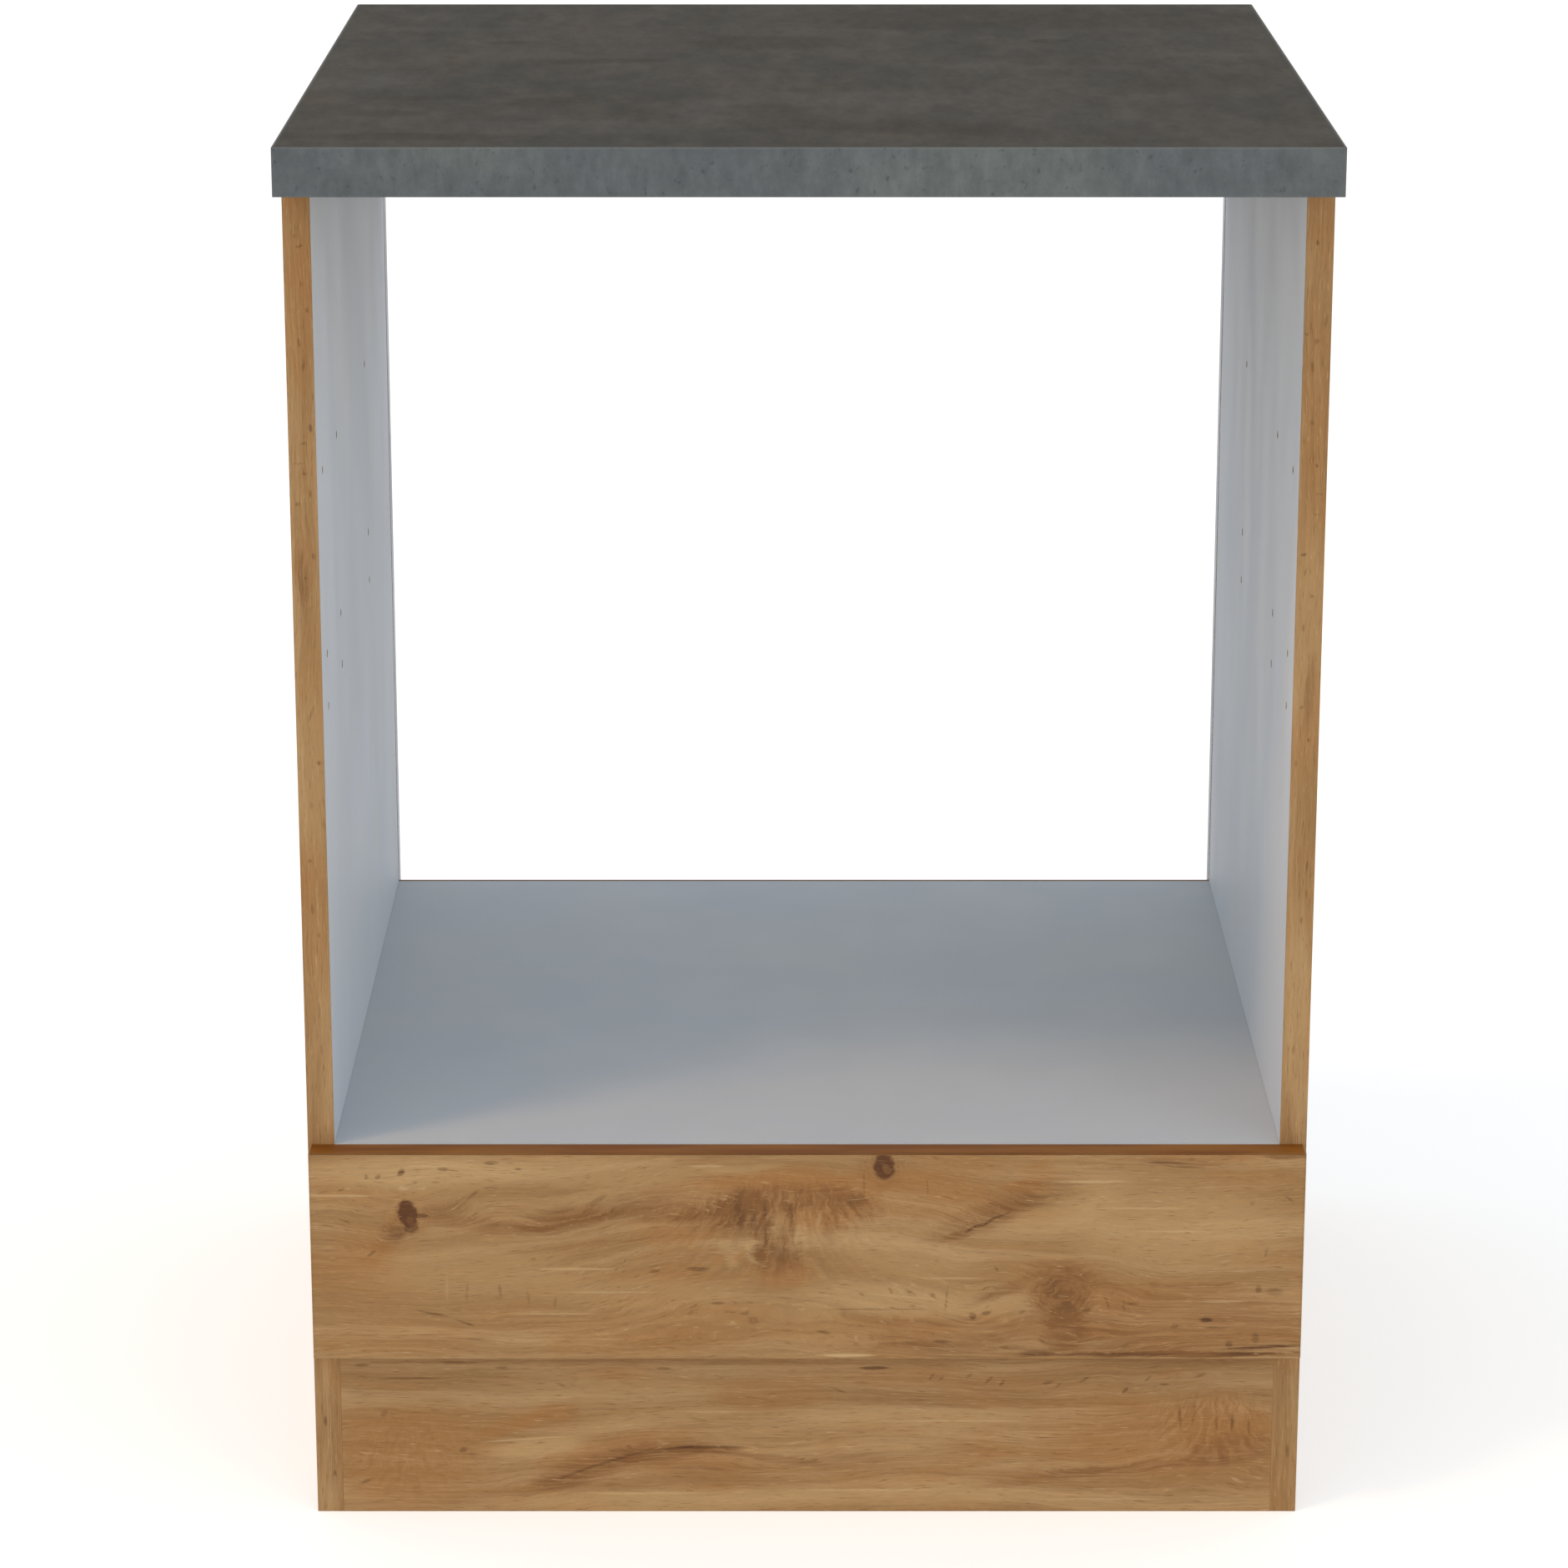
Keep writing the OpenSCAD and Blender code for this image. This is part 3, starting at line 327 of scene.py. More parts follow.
# Marks on the outer faces of the side panels: Z and Y of the middle, for a grain along Z
SIDE_MARKS = {
    "lift": [
        (560, 40, 190, 80, 0, 0.6), (250, -90, 160, 70, 0, -0.5), (120, 180, 140, 60, 0, 0.4),
        (700, -150, 120, 60, 0, -0.4), (400, 210, 130, 50, 0, -0.4)],
    "light": [
        (620, -60, 160, 22, 0, 0.6), (220, 60, 180, 26, 0, 0.6), (430, 140, 150, 18, 0, 0.5),
        (90, -170, 120, 22, 0, 0.6), (740, 200, 110, 24, 0, 0.5), (380, -200, 150, 20, 0, 0.5)],
    "red": [
        (540, 50, 60, 26, 0, 0.7), (260, -90, 70, 24, 0, 0.6), (120, 190, 70, 20, 0, 0.5),
        (700, -150, 80, 24, 0, 0.5), (400, 225, 70, 22, 0, 0.5), (60, 20, 60, 20, 0, 0.4)],
    "brown": [
        (470, 30, 60, 7, 6, 0.6), (585, 62, 46, 6, -8, 0.5), (330, -84, 70, 5, -4, 0.5),
        (190, -98, 44, 6, 8, 0.5), (130, 182, 50, 6, 5, 0.5), (735, -158, 50, 5, -5, 0.5),
        (640, -142, 40, 5, 6, 0.4), (380, 214, 60, 4, 4, 0.4), (60, -40, 60, 4, -3, 0.4),
        (760, 90, 60, 4, 3, 0.4), (540, 50, 26, 15, 0, 0.5), (262, -92, 20, 13, 0, 0.5)],
    "pale": [
        (660, 10, 60, 0.8, 0, 0.5), (180, 120, 70, 0.8, 0, 0.5), (420, -20, 60, 0.8, 0, 0.4),
        (90, -220, 50, 0.8, 0, 0.4), (520, -170, 60, 0.8, 0, 0.4), (300, 260, 60, 0.8, 0, 0.4)],
    "eye": [(545, 50, 34, 21, 6, 0.9), (262, -92, 30, 18, -4, 0.9), (124, 190, 15, 11, 0, 0.7),
            (704, -152, 15, 11, 0, 0.7)],
    "dark": [
        (556, 60, 16, 2.4, 20, 0.6), (525, 42, 12, 3, -10, 0.6), (292, -84, 24, 1.2, -6, 0.6),
        (236, -102, 14, 2, 12, 0.5), (150, 176, 22, 1.1, 6, 0.6), (745, -160, 20, 1.1, -6, 0.6),
        (420, 214, 18, 1, 3, 0.5), (690, 150, 5, 1, 40, 0.5), (675, 158, 4, 1, 40, 0.4),
        (660, 149, 5, 1, 35, 0.5), (340, 90, 6, 1, -30, 0.5), (325, 98, 5, 1, -40, 0.4),
        (70, 110, 6, 1.2, 20, 0.5), (480, -120, 6, 1.2, -20, 0.5), (200, 10, 8, 1, 0, 0.5),
        (600, -220, 7, 1.2, 10, 0.5), (770, 20, 8, 1, 0, 0.5), (30, -120, 5, 1.4, 0, 0.5)],
    "knot": [
        (542, 50, 9, 5.5, 10, 1.0), (262, -92, 8, 5, -8, 0.9), (124, 190, 5, 3.6, 0, 0.8),
        (704, -152, 5, 3.4, 0, 0.9)],
    "heart": [(543, 50, 4, 2.2, 10, 0.8), (262, -92, 3.4, 2, 0, 0.8)]}

OAK_LIGHT = rgb(178, 142, 98)
OAK_MID = rgb(160, 122, 78)
OAK_PORE = rgb(122, 84, 48)
OAK_MARK_COLOURS = {
    "light": rgb(194, 158, 110), "red": rgb(165, 117, 68), "brown": rgb(134, 92, 53),
    "pale": rgb(206, 173, 126), "dark": rgb(92, 60, 34), "knot": rgb(96, 60, 34),
    "heart": rgb(136, 94, 56)}
# Kinds of marks that are broad and soft, kinds that are round and crisp, and how far kinds
# bend the grain, in millimetres
BROAD_MARKS = ("lift", "light", "red", "brown", "feather", "eye")
ROUND_MARKS = ("knot", "heart")
GRAIN_BENDS = {"lift": -16, "brown": 3, "knot": 2.5}


def oak_covers(look, flat, marks):
    """How strongly each kind of mark covers a place. The marks run out along the grain in
    ragged teeth, the broad ones further, and the knots keep a slightly uneven round outline."""
    teeth = look.jitter(flat, (9, 0.8, 9), (10, 0.8, 0))
    loose = look.jitter(teeth, (17, 6, 17), (12, 5, 0))
    tight = look.jitter(flat, (4, 0.7, 4), (2.6, 0.6, 0))
    uneven = look.jitter(flat, (6, 4, 6), (5, 4, 0))
    covers = {}
    for kind, places in marks.items():
        if kind in ROUND_MARKS:
            covers[kind] = look.marks(uneven, places, CRISP_RISE)
        else:
            moved = loose if kind in BROAD_MARKS else tight
            covers[kind] = look.marks(moved, places, SOFT_RISE)
    return covers


def oak_grain(look, flat, covers):
    """A place moved across the grain, so that its lines sway over the board, ripple and bend
    round the marks."""
    along, bent, third = look.split(flat)
    sway = look.math("MULTIPLY", look.noise(flat, (230, 60, 60)), 26)
    ripple = look.math("MULTIPLY", look.noise(flat, (46, 12, 30)), 5)
    bent = look.math("ADD", bent, look.math("ADD", sway, ripple))
    for kind, bend in GRAIN_BENDS.items():
        bent = look.math("MULTIPLY_ADD", covers.get(kind, 0.0), bend, bent)
    return look.join(along, bent, third)


def oak_lines(look, flat, grain, marks, covers):
    """The fine lines of the grain. In a burl they stand on end and fan out below, and round
    a knot they run in rings."""
    lines = look.noise(grain, (70, 1.7, 30), detail=4, rough=0.65)
    for kind, form, size in (("feather", look.fan, (3, 15, 15)), ("eye", look.rings, (2.2, 9, 9))):
        if kind in marks:
            uneasy = look.jitter(flat, (11, 9, 11), (10, 8, 0))
            curls = look.noise(look.curls(uneasy, marks[kind], form), size, detail=3, rough=0.6)
            share = look.math("MINIMUM", covers[kind], 1.0)
            lines = look.math("MULTIPLY_ADD", share, look.math("SUBTRACT", curls, lines), lines)
    return lines


def oak_marked(look, colour, lines, covers):
    """A colour with the marks laid over it, all but the round ones in streaks of the grain."""
    streaky = look.remap(lines, 0.3, 0.7, 1.35, 0.6)
    for kind in ("light", "red", "brown", "pale", "dark", *ROUND_MARKS):
        if kind in covers:
            cover = covers[kind]
            if kind not in ROUND_MARKS:
                cover = look.math("MULTIPLY", cover, streaky)
            cover = look.math("MINIMUM", cover, 1.0)
            colour = look.mix(cover, colour, OAK_MARK_COLOURS[kind])
    return colour


def oak(name, along, across, marks=None, seed=0):
    """Rustic oak decor. along is the number of the axis that its grain follows, and across
    that of the other axis of its face."""
    look = Shader(name, seed)
    axes = look.split(look.place)
    third = ({0, 1, 2} - {along, across}).pop()
    flat = look.join(axes[along], axes[across], axes[third])
    marks = marks or {}
    covers = oak_covers(look, flat, marks)
    grain = oak_grain(look, flat, covers)
    lines = oak_lines(look, flat, grain, marks, covers)
    bands = look.noise(grain, (300, 15, 60), detail=3)
    fibres = look.noise(grain, (12, 0.5, 8), detail=2)
    pores = look.noise(grain, (11, 0.75, 7), detail=2, rough=0.6)
    blotches = look.noise(flat, (75, 26, 40), detail=4, rough=0.6)
    colour = look.mix(look.remap(bands, 0.38, 0.64), OAK_MID, OAK_LIGHT)
    colour = look.mix(look.remap(blotches, 0.46, 0.72, 0, 0.6), colour, OAK_MARK_COLOURS["red"])
    colour = oak_marked(look, colour, lines, covers)
    colour = look.shade(colour, look.remap(lines, 0.28, 0.72, 0.88, 1.1))
    colour = look.mix(look.remap(pores, 0.58, 0.72, 0, 0.55), colour, OAK_PORE)
    colour = look.mix(look.remap(pores, 0.26, 0.4, 0.45, 0), colour, OAK_MARK_COLOURS["pale"])
    colour = look.shade(colour, look.remap(fibres, 0.2, 0.8, 0.95, 1.05))
    relief = look.math("SUBTRACT", lines, look.remap(pores, 0.6, 0.74))
    return look.finish(colour, look.remap(fibres, 0.2, 0.8, 0.52, 0.64), relief, 0.04,
                       Specular_IOR_Level=0.2)


# Painted light and shade: darker than the front, and tinted apart for its top and front faces
BAND_TOP_FACE_PAINTED_LIGHT = (rgb(128, 76, 26), rgb(147, 96, 38))
BAND_FRONT_FACE_PAINTED_LIGHT = (rgb(112, 76, 44), rgb(130, 91, 55))


def dark_band(name, seed, tones):
    """Dark brown edge band in wood decor, grain along X; its tones hold painted light and shade."""
    look = Shader(name, seed)
    tone = look.noise(look.place, (90, 12, 12), detail=3)
    lines = look.noise(look.place, (40, 1.2, 1.2), detail=3, rough=0.65)
    colour = look.mix(look.remap(tone, 0.35, 0.65), *tones)
    colour = look.shade(colour, look.remap(lines, 0.25, 0.75, 0.88, 1.1))
    return look.finish(colour, look.remap(lines, 0.2, 0.8, 0.5, 0.62), lines, 0.04,
                       Specular_IOR_Level=0.08)


MELAMINE_TONES = (rgb(203, 207, 213), rgb(206, 209, 212))
MELAMINE_RUBBED = rgb(150, 148, 142)
# In the photo the side panels look lighter than plain melamine, and the shelf darker
# Both factors are painted light and shade on one and the same melamine
WALL_PAINTED_LIGHT = 1.1
SHELF_PAINTED_SHADE = 0.94


def melamine(name, box, seed=0, tone=1.0):
    """Light grey melamine face: satin, finely pitted, a little rubbed along its edges."""
    look = Shader(name, seed)
    cloud = look.noise(look.place, (110, 90, 120), detail=3)
    pits = look.noise(look.place, (0.9, 0.9, 0.9), detail=2)
    wiped = look.noise(look.place, (45, 45, 160), detail=3)
    edge = look.remap(look.rim(box), 0.1, 1.4, 1, 0)
    colour = look.mix(look.remap(cloud, 0.3, 0.7), *MELAMINE_TONES)
    # tone lightens or darkens the whole face: painted light and shade
    colour = look.shade(colour, look.remap(pits, 0.2, 0.8, 0.985 * tone, 1.015 * tone))
    colour = look.mix(look.math("MULTIPLY", edge, 0.12), colour, MELAMINE_RUBBED)
    return look.finish(colour, look.remap(wiped, 0.3, 0.7, 0.5, 0.6), pits, 0.02,
                       Specular_IOR_Level=0.08)


CHIP_TONES = (rgb(150, 117, 78), rgb(197, 165, 118))
CHIP_DARK = rgb(120, 88, 54)


def chipboard(name, seed=0):
    """The raw edge of a chipboard: straw-coloured chips, large and small."""
    look = Shader(name, seed)
    place = look.jitter(look.place, (3, 3, 3), (1.4, 1.4, 1.4))
    value, middle = look.cells(place, (3.4, 2.6, 1.3))
    small, _ = look.cells(place, (1.1, 1.1, 0.6))
    colour = look.mix(look.remap(value, 0, 1), *CHIP_TONES)
    colour = look.mix(look.remap(small, 0.6, 1.0, 0, 0.6), colour, CHIP_DARK)
    colour = look.shade(colour, look.remap(middle, 0, 0.8, 1.05, 0.86))
    return look.finish(colour, 0.85, look.math("SUBTRACT", value, middle), 0.25)


# Clouds on the worktop's face: X and Y of the middle, half sizes, turn, strength
TOP_CLOUDS = [
    (154, 122, 12, 9, 0, 0.8), (73, 190, 40, 16, 0, 0.5), (239, -50, 44, 36, 20, 0.5),
    (58, -228, 62, 22, -8, 0.6), (-142, 35, 28, 12, 0, 0.6), (-115, 35, 20, 10, 0, 0.5),
    (-193, 114, 12, 8, 0, 0.6), (-20, 116, 52, 26, 0, 0.6), (-223, -118, 32, 10, 0, 0.5),
    (-155, -134, 24, 18, 30, 0.6), (-245, -176, 20, 9, 0, 0.5), (-228, -262, 62, 12, 0, 0.6),
    (-95, -176, 22, 22, 0, 0.4), (-20, -188, 24, 44, 8, 0.5), (170, 40, 60, 24, 0, 0.35),
    (150, 230, 150, 50, 0, 0.6)]
TOP_LIGHTS = [
    (-272, -52, 40, 34, 0, 0.7), (-227, 180, 46, 14, 0, 0.4), (-50, -176, 28, 46, 0, 0.6),
    (40, -120, 60, 30, 0, 0.5), (120, 20, 50, 22, 0, 0.35), (250, 60, 26, 14, 0, 0.5),
    (-130, -230, 60, 26, 0, 0.4), (150, -180, 40, 40, 0, 0.3)]

TOP_TONES = (rgb(67, 65, 60), rgb(77, 73, 67))
TOP_WARM = rgb(81, 73, 62)
TOP_PALE = rgb(84, 81, 76)
TOP_DARK = rgb(61, 57, 50)
TOP_RUBBED = rgb(112, 110, 106)


def concrete_top(name, box):
    """Warm dark grey concrete decor with soft clouds, a little longer along the depth."""
    look = Shader(name, seed=3)
    loose = look.jitter(look.place, (60, 30, 30), (46, 26, 0))
    clouds = look.noise(look.place, (56, 110, 90), detail=5, rough=0.65)
    tint = look.noise(look.place, (38, 90, 60), detail=5, rough=0.65)
    smudges = look.noise(look.place, (17, 44, 12), detail=5, rough=0.7)
    spots = look.noise(look.place, (12, 14, 9), detail=3, rough=0.6)
    fine = look.noise(look.place, (5, 14, 4), detail=5, rough=0.75)
    grit = look.noise(look.place, (1.3, 1.3, 1.3), detail=2)
    colour = look.mix(look.remap(clouds, 0.35, 0.65), *TOP_TONES)
    colour = look.mix(look.remap(tint, 0.45, 0.7, 0, 0.4), colour, TOP_WARM)
    for places, most, tone in ((TOP_LIGHTS, 0.7, TOP_PALE), (TOP_CLOUDS, 0.62, TOP_DARK)):
        cover = look.math("MINIMUM", look.marks(loose, places, SOFT_RISE), most)
        colour = look.mix(cover, colour, tone)
    colour = look.shade(colour, look.remap(smudges, 0.3, 0.7, 0.86, 1.14))
    colour = look.shade(colour, look.remap(spots, 0.6, 0.74, 1, 0.9))
    colour = look.shade(colour, look.remap(fine, 0.28, 0.72, 0.93, 1.07))
    colour = look.shade(colour, look.remap(grit, 0.2, 0.8, 0.96, 1.04))
    edge = look.remap(look.rim(box), 0.2, 2.0, 1, 0)
    colour = look.mix(look.math("MULTIPLY", edge, 0.2), colour, TOP_RUBBED)
    rough = look.remap(fine, 0.25, 0.75, 0.62, 0.74)
    return look.finish(colour, rough, look.math("MULTIPLY_ADD", fine, 0.6, grit), 0.04,
                       Specular_IOR_Level=0.04)


EDGE_TONES = (rgb(95, 100, 102), rgb(103, 108, 106))
EDGE_SPECK = rgb(66, 73, 82)
EDGE_RUBBED = rgb(120, 124, 122)


def concrete_edge(name, along, box):
    """Bluish grey band with a concrete decor. along is the number of the axis it runs on."""
    look = Shader(name, seed=5 + along)
    size = [3.2, 3.2, 16]
    size[along] = 5
    tone = look.noise(look.place, (100, 100, 60), detail=3)
    mottle = look.noise(look.place, (13, 13, 16), detail=4, rough=0.65)
    drips = look.noise(look.place, size, detail=3, rough=0.6)
    specks = look.noise(look.place, (4.5, 4.5, 6), detail=2, rough=0.6)
    grit = look.noise(look.place, (0.9, 0.9, 0.9), detail=2)
    colour = look.mix(look.remap(tone, 0.35, 0.65), *EDGE_TONES)
    colour = look.shade(colour, look.remap(mottle, 0.25, 0.75, 0.86, 1.14))
    colour = look.shade(colour, look.remap(drips, 0.25, 0.75, 0.92, 1.08))
    colour = look.mix(look.remap(specks, 0.6, 0.76, 0, 0.6), colour, EDGE_SPECK)
    colour = look.shade(colour, look.remap(grit, 0.2, 0.8, 0.95, 1.05))
    edge = look.remap(look.rim(box), 0.15, 1.3, 1, 0)
    colour = look.mix(look.math("MULTIPLY", edge, 0.25), colour, EDGE_RUBBED)
    return look.finish(colour, look.remap(mottle, 0.3, 0.7, 0.55, 0.68), grit, 0.03,
                       Specular_IOR_Level=0.2)


def backing_sheet(name):
    """The grey-brown paper under the worktop."""
    look = Shader(name, seed=9)
    cloud = look.noise(look.place, (60, 60, 60), detail=3)
    fibre = look.noise(look.place, (6, 1.2, 3), detail=3)
    colour = look.mix(look.remap(cloud, 0.3, 0.7), rgb(150, 140, 124), rgb(166, 156, 139))
    colour = look.shade(colour, look.remap(fibre, 0.25, 0.75, 0.93, 1.06))
    return look.finish(colour, 0.75, fibre, 0.03)


WIRE_PITCH = 1.6


def hardboard(name, seed):
    """Raw hardboard: pressed brown fibres, with the imprint of the press's wire mesh."""
    look = Shader(name, seed)
    cloud = look.noise(look.place, (50, 50, 50), detail=3)
    fibre = look.noise(look.place, (2.4, 2.4, 1.6), detail=4, rough=0.7)
    waves = [look.math("SINE", look.math("MULTIPLY", value, 2 * math.pi / WIRE_PITCH))
             for value in look.split(look.place)]
    mesh = look.math("MULTIPLY", look.math("ADD", waves[0], waves[1]), waves[2])
    colour = look.mix(look.remap(cloud, 0.3, 0.7), rgb(120, 88, 58), rgb(140, 106, 72))
    colour = look.shade(colour, look.remap(fibre, 0.25, 0.75, 0.85, 1.12))
    return look.finish(colour, 0.8, look.math("MULTIPLY_ADD", mesh, 0.25, fibre), 0.12)


def beech(name):
    """Plain beech for the dowels, with its grain along X and the usual short flecks."""
    look = Shader(name, seed=11)
    tone = look.noise(look.place, (20, 4, 4), detail=3)
    flecks = look.noise(look.place, (3, 0.5, 0.5), detail=1)
    colour = look.mix(look.remap(tone, 0.3, 0.7), rgb(206, 170, 126), rgb(224, 192, 150))
    colour = look.mix(look.remap(flecks, 0.62, 0.75, 0, 0.5), colour, rgb(168, 124, 80))
    return look.finish(colour, 0.6, flecks, 0.05)


def zinc(name):
    """Bright zinc plating: fine spangle, a faint blue and yellow cast, duller in patches."""
    look = Shader(name, seed=13)
    spangle, _ = look.cells(look.place, (2.2, 2.2, 2.2))
    film = look.noise(look.place, (7, 7, 7), detail=3)
    scratch = look.noise(look.place, (0.4, 5, 0.4), detail=2)
    colour = look.mix(look.remap(film, 0.3, 0.7), rgb(196, 200, 205), rgb(206, 203, 192))
    colour = look.shade(colour, look.remap(spangle, 0, 1, 0.93, 1.04))
    rough = look.remap(look.math("ADD", scratch, film), 0.7, 1.3, 0.26, 0.44)
    return look.finish(colour, rough, look.math("ADD", scratch, spangle), 0.006, Metallic=1.0)


def coated_steel(name):
    """White epoxy coat on sheet steel, with a fine orange peel and a few grey rub marks."""
    look = Shader(name, seed=15)
    peel = look.noise(look.place, (1.3, 1.3, 1.3), detail=1)
    rubs = look.noise(look.place, (3, 40, 1.2), detail=3, rough=0.6)
    cloud = look.noise(look.place, (30, 60, 30), detail=2)
    colour = look.mix(look.remap(cloud, 0.3, 0.7), rgb(226, 227, 224), rgb(233, 233, 229))
    colour = look.mix(look.remap(rubs, 0.64, 0.8, 0, 0.35), colour, rgb(168, 168, 164))
    return look.finish(colour, look.remap(rubs, 0.4, 0.8, 0.3, 0.48), peel, 0.02)


def nylon(name):
    """Natural white nylon, with turning marks round the roller and a grey running track."""
    look = Shader(name, seed=17)
    grain = look.noise(look.place, (0.8, 0.8, 0.8), detail=2)
    worn = look.noise(look.place, (1.2, 9, 9), detail=3)
    colour = look.mix(look.remap(worn, 0.5, 0.75, 0, 0.4), rgb(232, 229, 218), rgb(196, 193, 184))
    return look.finish(colour, look.remap(grain, 0.2, 0.8, 0.38, 0.5), grain, 0.01,
                       Subsurface_Weight=0.15, Subsurface_Scale=0.002)


# Dressing the CAD nodes
SIDES = {"left": (0, -1), "right": (0, 1), "front": (1, -1), "back": (1, 1),
         "bottom": (2, -1), "top": (2, 1)}
# How squarely a face looks to a side, and how near to that side of the box it lies
SQUARE = 0.99
TOUCH = 0.02 * MM


def dress(node, rest, **sides):
    """Gives a node the material rest, and other materials on named sides of its box."""
    thing = NODES[node]
    thing.data.materials.clear()
    for material in (rest, *sides.values()):
        thing.data.materials.append(material)
    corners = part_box(node)
    for number, side in enumerate(sides, 1):
        axis, sign = SIDES[side]
        plane = corners[sign > 0][axis]
        for face in thing.data.polygons:
            if face.normal[axis] * sign > SQUARE and abs(face.center[axis] - plane) < TOUCH:
                face.material_index = number


# How far the sharp edges are broken, in millimetres
BOARD_EASE = 0.2
DRAWER_BOX_EASE = 0.25
WORKTOP_EASE = 0.25
BRACKET_EASE = 0.3
# Points nearer than this are one, faces flatter than this are one, and edges sharper than
# this are broken: a length in millimetres and two angles in degrees
WELD = 0.001
FLAT = 0.2
SHARP = 40


def ease_edges(node, width=BOARD_EASE):
    """Breaks the sharp edges of a node by this width in millimetres."""
    thing = NODES[node]
    thing.modifiers.new("weld", "WELD").merge_threshold = WELD * MM
    flat = thing.modifiers.new("flat", "DECIMATE")
    flat.decimate_type = "DISSOLVE"
    flat.angle_limit = math.radians(FLAT)
    flat.delimit = {"MATERIAL"}
    bevel = thing.modifiers.new("ease", "BEVEL")
    bevel.width = width * MM
    bevel.segments = 2
    bevel.limit_method = "ANGLE"
    bevel.angle_limit = math.radians(SHARP)
    normals = thing.modifiers.new("normals", "WEIGHTED_NORMAL")
    normals.keep_sharp = True


def dress_carcass():
    raw = chipboard("raw_chipboard")
    for side, inner, seed in (("left", "right", 21), ("right", "left", 22)):
        node = "side_panel_" + side
        inside = melamine(node + "_inside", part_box(node), seed, WALL_PAINTED_LIGHT)
        outside = oak(node + "_outside", 2, 1, SIDE_MARKS, seed)
        dress(node, raw, **{inner: inside, side: outside})
        band = "side_edge_band_" + side
        dress(band, oak("edge_band_oak_" + side, 2, 0, EDGE_MARKS, seed + 4))
        ease_edges(node)
        ease_edges(band)
    for seed, node in enumerate(("oven_shelf", "bottom_panel", "rear_rail"), 31):
        face = melamine(node + "_face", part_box(node), seed, SHELF_PAINTED_SHADE)
        if node == "rear_rail":
            dress(node, raw, front=face, back=face, bottom=face)
        else:
            dress(node, raw, top=face, bottom=face)
        ease_edges(node)
    dress("shelf_edge_band", melamine("shelf_band_face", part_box("shelf_edge_band"), 35))
    dress("bottom_edge_band", oak("bottom_band_oak", 0, 2, seed=36))
    for node in ("shelf_edge_band", "bottom_edge_band"):
        ease_edges(node)
    plinth_back = melamine("plinth_back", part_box("plinth_panel"), 38)
    dress("plinth_panel", raw, front=oak("plinth_oak", 0, 2, PLINTH_MARKS, 41), back=plinth_back)
    ease_edges("plinth_panel")
    dress("back_panel", hardboard("back_hardboard", 44))
    dress("wooden_dowels", beech("beech"))


def dress_worktop():
    raw = chipboard("worktop_chipboard", 7)
    dress("worktop", raw, top=concrete_top("concrete_top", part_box("worktop")),
          bottom=backing_sheet("backing_sheet"))
    front = "worktop_front_edge"
    dress(front, concrete_edge("concrete_front_edge", 0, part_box(front)))
    for side in ("left", "right"):
        node = "worktop_edge_" + side
        dress(node, concrete_edge("concrete_edge_" + side, 1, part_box(node)))
    for node in ("worktop", front, "worktop_edge_left", "worktop_edge_right"):
        ease_edges(node, WORKTOP_EASE)


def dress_drawer():
    raw = chipboard("drawer_chipboard", 8)
    back = melamine("front_back_face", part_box("drawer_front"), 50)
    dress("drawer_front", raw, front=oak("drawer_front_oak", 0, 2, FRONT_MARKS, 51), back=back)
    bands = oak("front_bands_oak", 0, 2, FRONT_MARKS, 51)
    for node in ("front_end_edge_bands", "front_bottom_edge_band"):
        dress(node, bands)
    above = dark_band("top_band_painted_light", 52, BAND_TOP_FACE_PAINTED_LIGHT)
    ahead = dark_band("top_band_front", 52, BAND_FRONT_FACE_PAINTED_LIGHT)
    dress("front_top_edge_band", above, front=ahead)
    for seed, node in enumerate(
            ("drawer_inner_front", "drawer_side_left", "drawer_side_right", "drawer_back"), 54):
        dress(node, melamine(node + "_face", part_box(node), seed))
        ease_edges(node, DRAWER_BOX_EASE)
    lacquer = melamine("drawer_bottom_face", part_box("drawer_bottom"), 60)
    dress("drawer_bottom", hardboard("drawer_hardboard", 61), top=lacquer)
    for node in ("drawer_front", "front_end_edge_bands", "front_top_edge_band",
                 "front_bottom_edge_band"):
        ease_edges(node)


def dress_metal_and_plastic():
    steel = zinc("zinc")
    for node in NODES:
        if node.endswith(("screws", "pins", "bolts", "brackets", "housings")):
            dress(node, steel)
    ease_edges("worktop_brackets", BRACKET_EASE)
    coat = coated_steel("white_coat")
    plastic = nylon("nylon")
    for side in ("left", "right"):
        for owner in ("cabinet", "drawer"):
            rail = f"{owner}_rail_{side}"
            dress(rail, coat)
            ease_edges(rail)
            dress(f"{owner}_roller_{side}", plastic)


# Studio: a pale floor, a white background, soft cool light from all round, a warm soft lamp
# from above on the left, and a weak lamp on each side of the front. A lamp has the way that
# its light travels, its colour, its strength and its spread in degrees.
FLOOR_SIZE = 60
FLOOR_GAP = 0.2 * MM
FLOOR_COLOUR = (0.84, 0.81, 0.785, 1.0)
FLOOR_GLOW = 0.45
FILL_COLOUR = (0.85, 0.93, 1.0, 1.0)
FILL_STRENGTH = 0.82
FILL_BEHIND = 0.70
FILL_FADE = 0.5
LAMPS = {
    "key": ((0.634, 0.371, -1.0), (1.0, 0.62, 0.32), 0.60, 12),
    "front_left": ((0.62, 0.77, -0.08), (1.0, 0.84, 0.68), 0.42, 50),
    "front_right": ((-0.62, 0.77, -0.08), (0.88, 0.95, 1.0), 0.66, 50)}


def seen_directly(tree):
    """1 for rays that come straight from the camera, or by way of metal or glass."""
    path = tree.nodes.new("ShaderNodeLightPath")
    total = path.outputs["Is Camera Ray"]
    for name in ("Is Glossy Ray", "Is Transmission Ray"):
        most = tree.nodes.new("ShaderNodeMath")
        most.operation = "MAXIMUM"
        tree.links.new(total, most.inputs[0])
        tree.links.new(path.outputs[name], most.inputs[1])
        total = most.outputs[0]
    return total


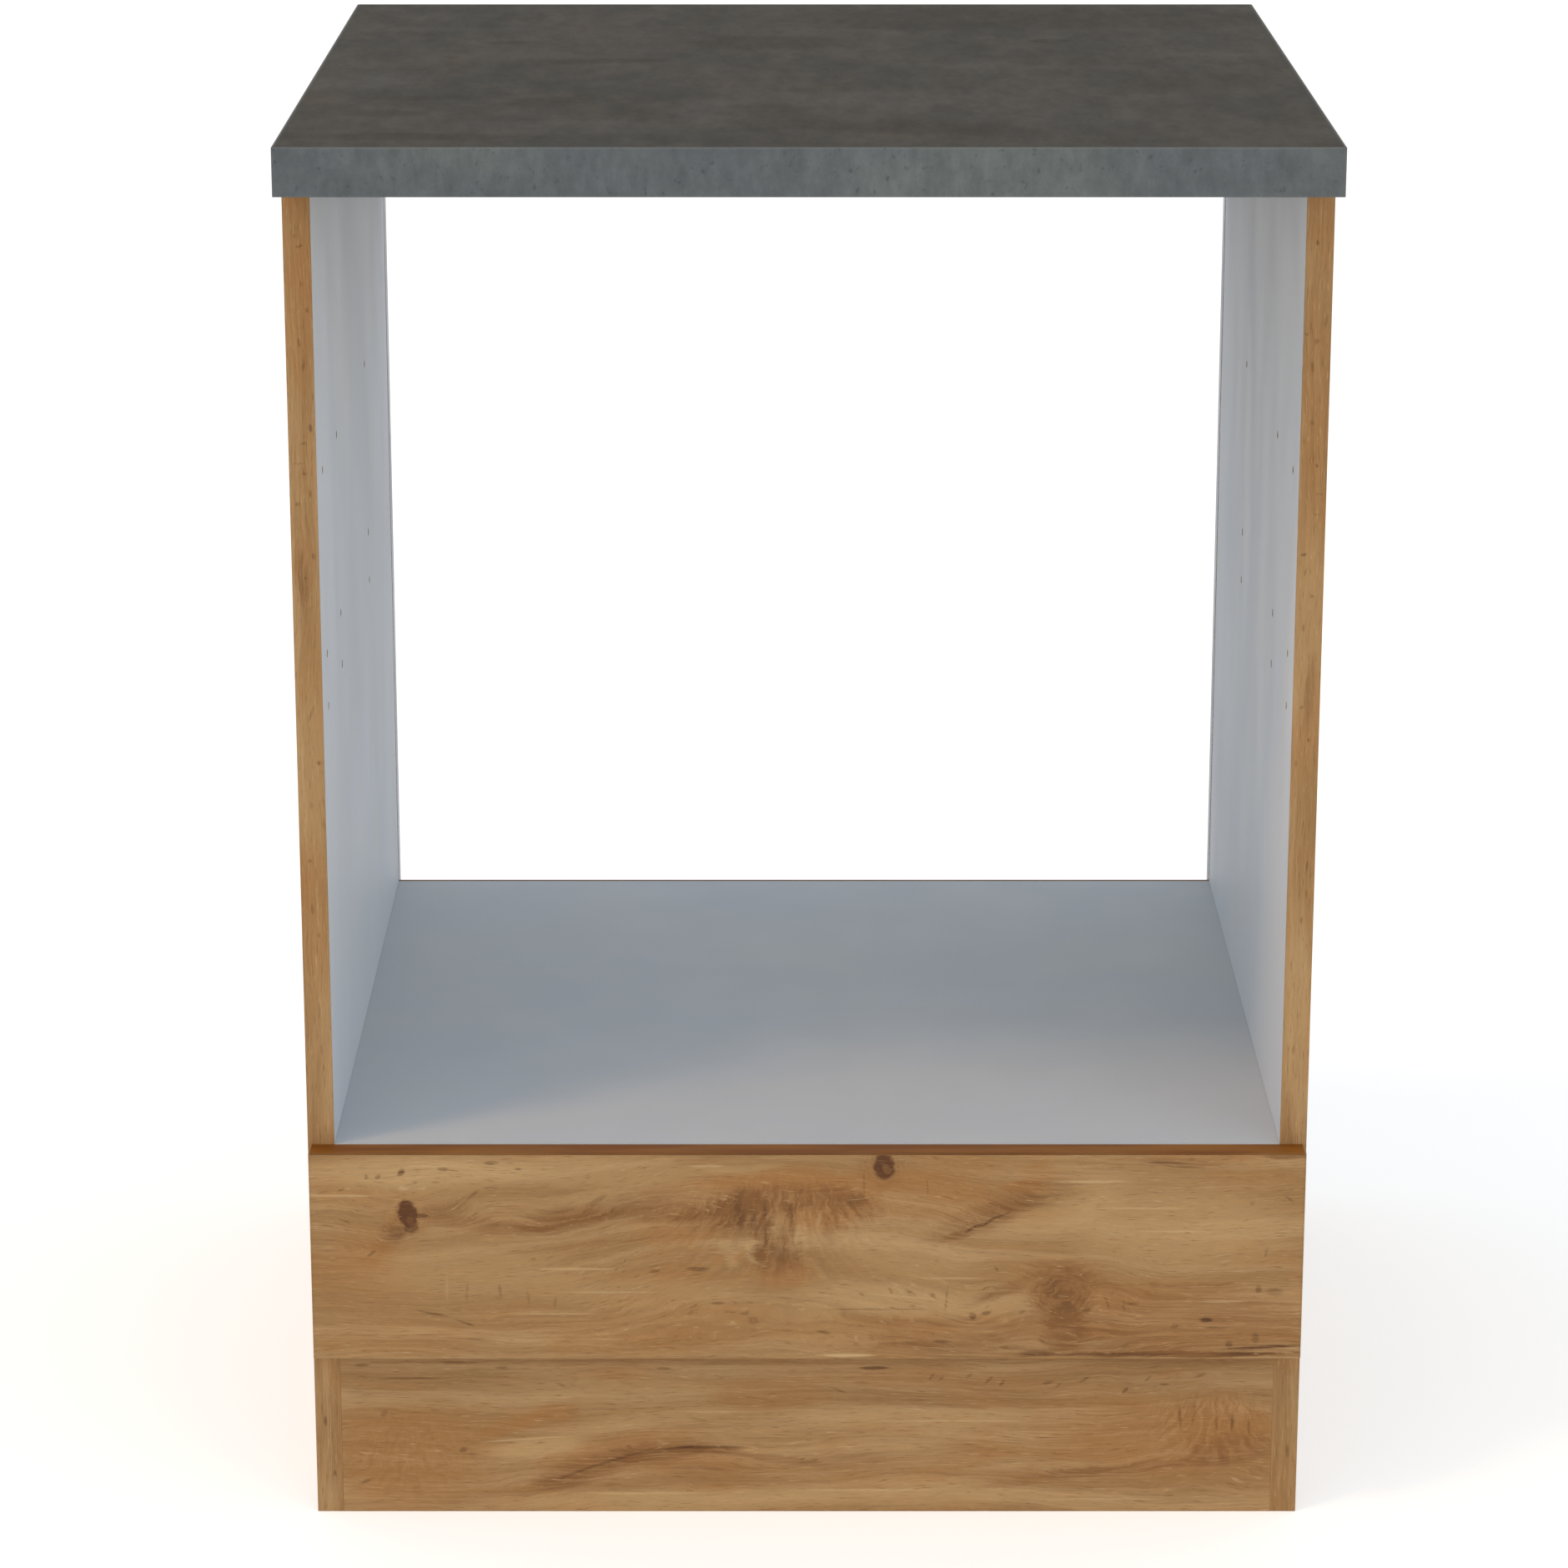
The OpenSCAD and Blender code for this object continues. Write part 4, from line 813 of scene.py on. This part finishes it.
def make_world():
    world = bpy.data.worlds.new("studio")
    bpy.context.scene.world = world
    world.use_nodes = True
    tree = world.node_tree
    tree.nodes.clear()
    fill = tree.nodes.new("ShaderNodeBackground")
    fill.inputs["Color"].default_value = FILL_COLOUR
    # The light from behind the cabinet is a little weaker than that from its front
    way = tree.nodes.new("ShaderNodeSeparateXYZ")
    tree.links.new(tree.nodes.new("ShaderNodeTexCoord").outputs["Generated"], way.inputs[0])
    strength = tree.nodes.new("ShaderNodeMapRange")
    tree.links.new(way.outputs["Y"], strength.inputs["Value"])
    strength.inputs["From Min"].default_value = -FILL_FADE
    strength.inputs["From Max"].default_value = FILL_FADE
    strength.inputs["To Min"].default_value = FILL_STRENGTH
    strength.inputs["To Max"].default_value = FILL_BEHIND
    tree.links.new(strength.outputs["Result"], fill.inputs["Strength"])
    white = tree.nodes.new("ShaderNodeBackground")
    white.inputs["Color"].default_value = (1, 1, 1, 1)
    mix = tree.nodes.new("ShaderNodeMixShader")
    tree.links.new(seen_directly(tree), mix.inputs[0])
    tree.links.new(fill.outputs[0], mix.inputs[1])
    tree.links.new(white.outputs[0], mix.inputs[2])
    out = tree.nodes.new("ShaderNodeOutputWorld")
    tree.links.new(mix.outputs[0], out.inputs[0])


def make_floor():
    half = FLOOR_SIZE / 2
    mesh = bpy.data.meshes.new("floor")
    mesh.from_pydata([(-half, -half, -FLOOR_GAP), (half, -half, -FLOOR_GAP),
                      (half, half, -FLOOR_GAP), (-half, half, -FLOOR_GAP)], [], [(0, 1, 2, 3)])
    floor = bpy.data.objects.new("floor", mesh)
    bpy.context.scene.collection.objects.link(floor)
    material = bpy.data.materials.new("floor")
    material.use_nodes = True
    tree = material.node_tree
    tree.nodes.clear()
    diffuse = tree.nodes.new("ShaderNodeBsdfDiffuse")
    diffuse.inputs["Color"].default_value = FLOOR_COLOUR
    glow = tree.nodes.new("ShaderNodeEmission")
    strength = tree.nodes.new("ShaderNodeMath")
    strength.operation = "MULTIPLY"
    strength.inputs[1].default_value = FLOOR_GLOW
    tree.links.new(seen_directly(tree), strength.inputs[0])
    tree.links.new(strength.outputs[0], glow.inputs["Strength"])
    both = tree.nodes.new("ShaderNodeAddShader")
    tree.links.new(diffuse.outputs[0], both.inputs[0])
    tree.links.new(glow.outputs[0], both.inputs[1])
    out = tree.nodes.new("ShaderNodeOutputMaterial")
    tree.links.new(both.outputs[0], out.inputs[0])
    mesh.materials.append(material)


def make_lamps():
    for name, (travel, colour, strength, spread) in LAMPS.items():
        light = bpy.data.lights.new(name, "SUN")
        light.color = colour
        light.energy = strength
        light.angle = math.radians(spread)
        lamp = bpy.data.objects.new(name, light)
        lamp.rotation_euler = Vector(travel).to_track_quat("-Z", "Y").to_euler()
        bpy.context.scene.collection.objects.link(lamp)


# Camera: in front of the cabinet, above it, looking down a little
CAMERA_PLACE = (-0.0139, -3.1081, 1.3022)
CAMERA_DOWN = math.radians(16.31)
CAMERA_LENS = 116.29
SENSOR = 36


def make_camera():
    camera = bpy.data.objects.new("camera", bpy.data.cameras.new("camera"))
    camera.data.lens = CAMERA_LENS
    camera.data.sensor_width = SENSOR
    camera.location = CAMERA_PLACE
    camera.rotation_euler = (math.pi / 2 - CAMERA_DOWN, 0, 0)
    bpy.context.scene.collection.objects.link(camera)
    bpy.context.scene.camera = camera


dress_carcass()
dress_worktop()
dress_drawer()
dress_metal_and_plastic()
make_world()
make_floor()
make_lamps()
make_camera()
bpy.context.scene.view_settings.view_transform = "Standard"
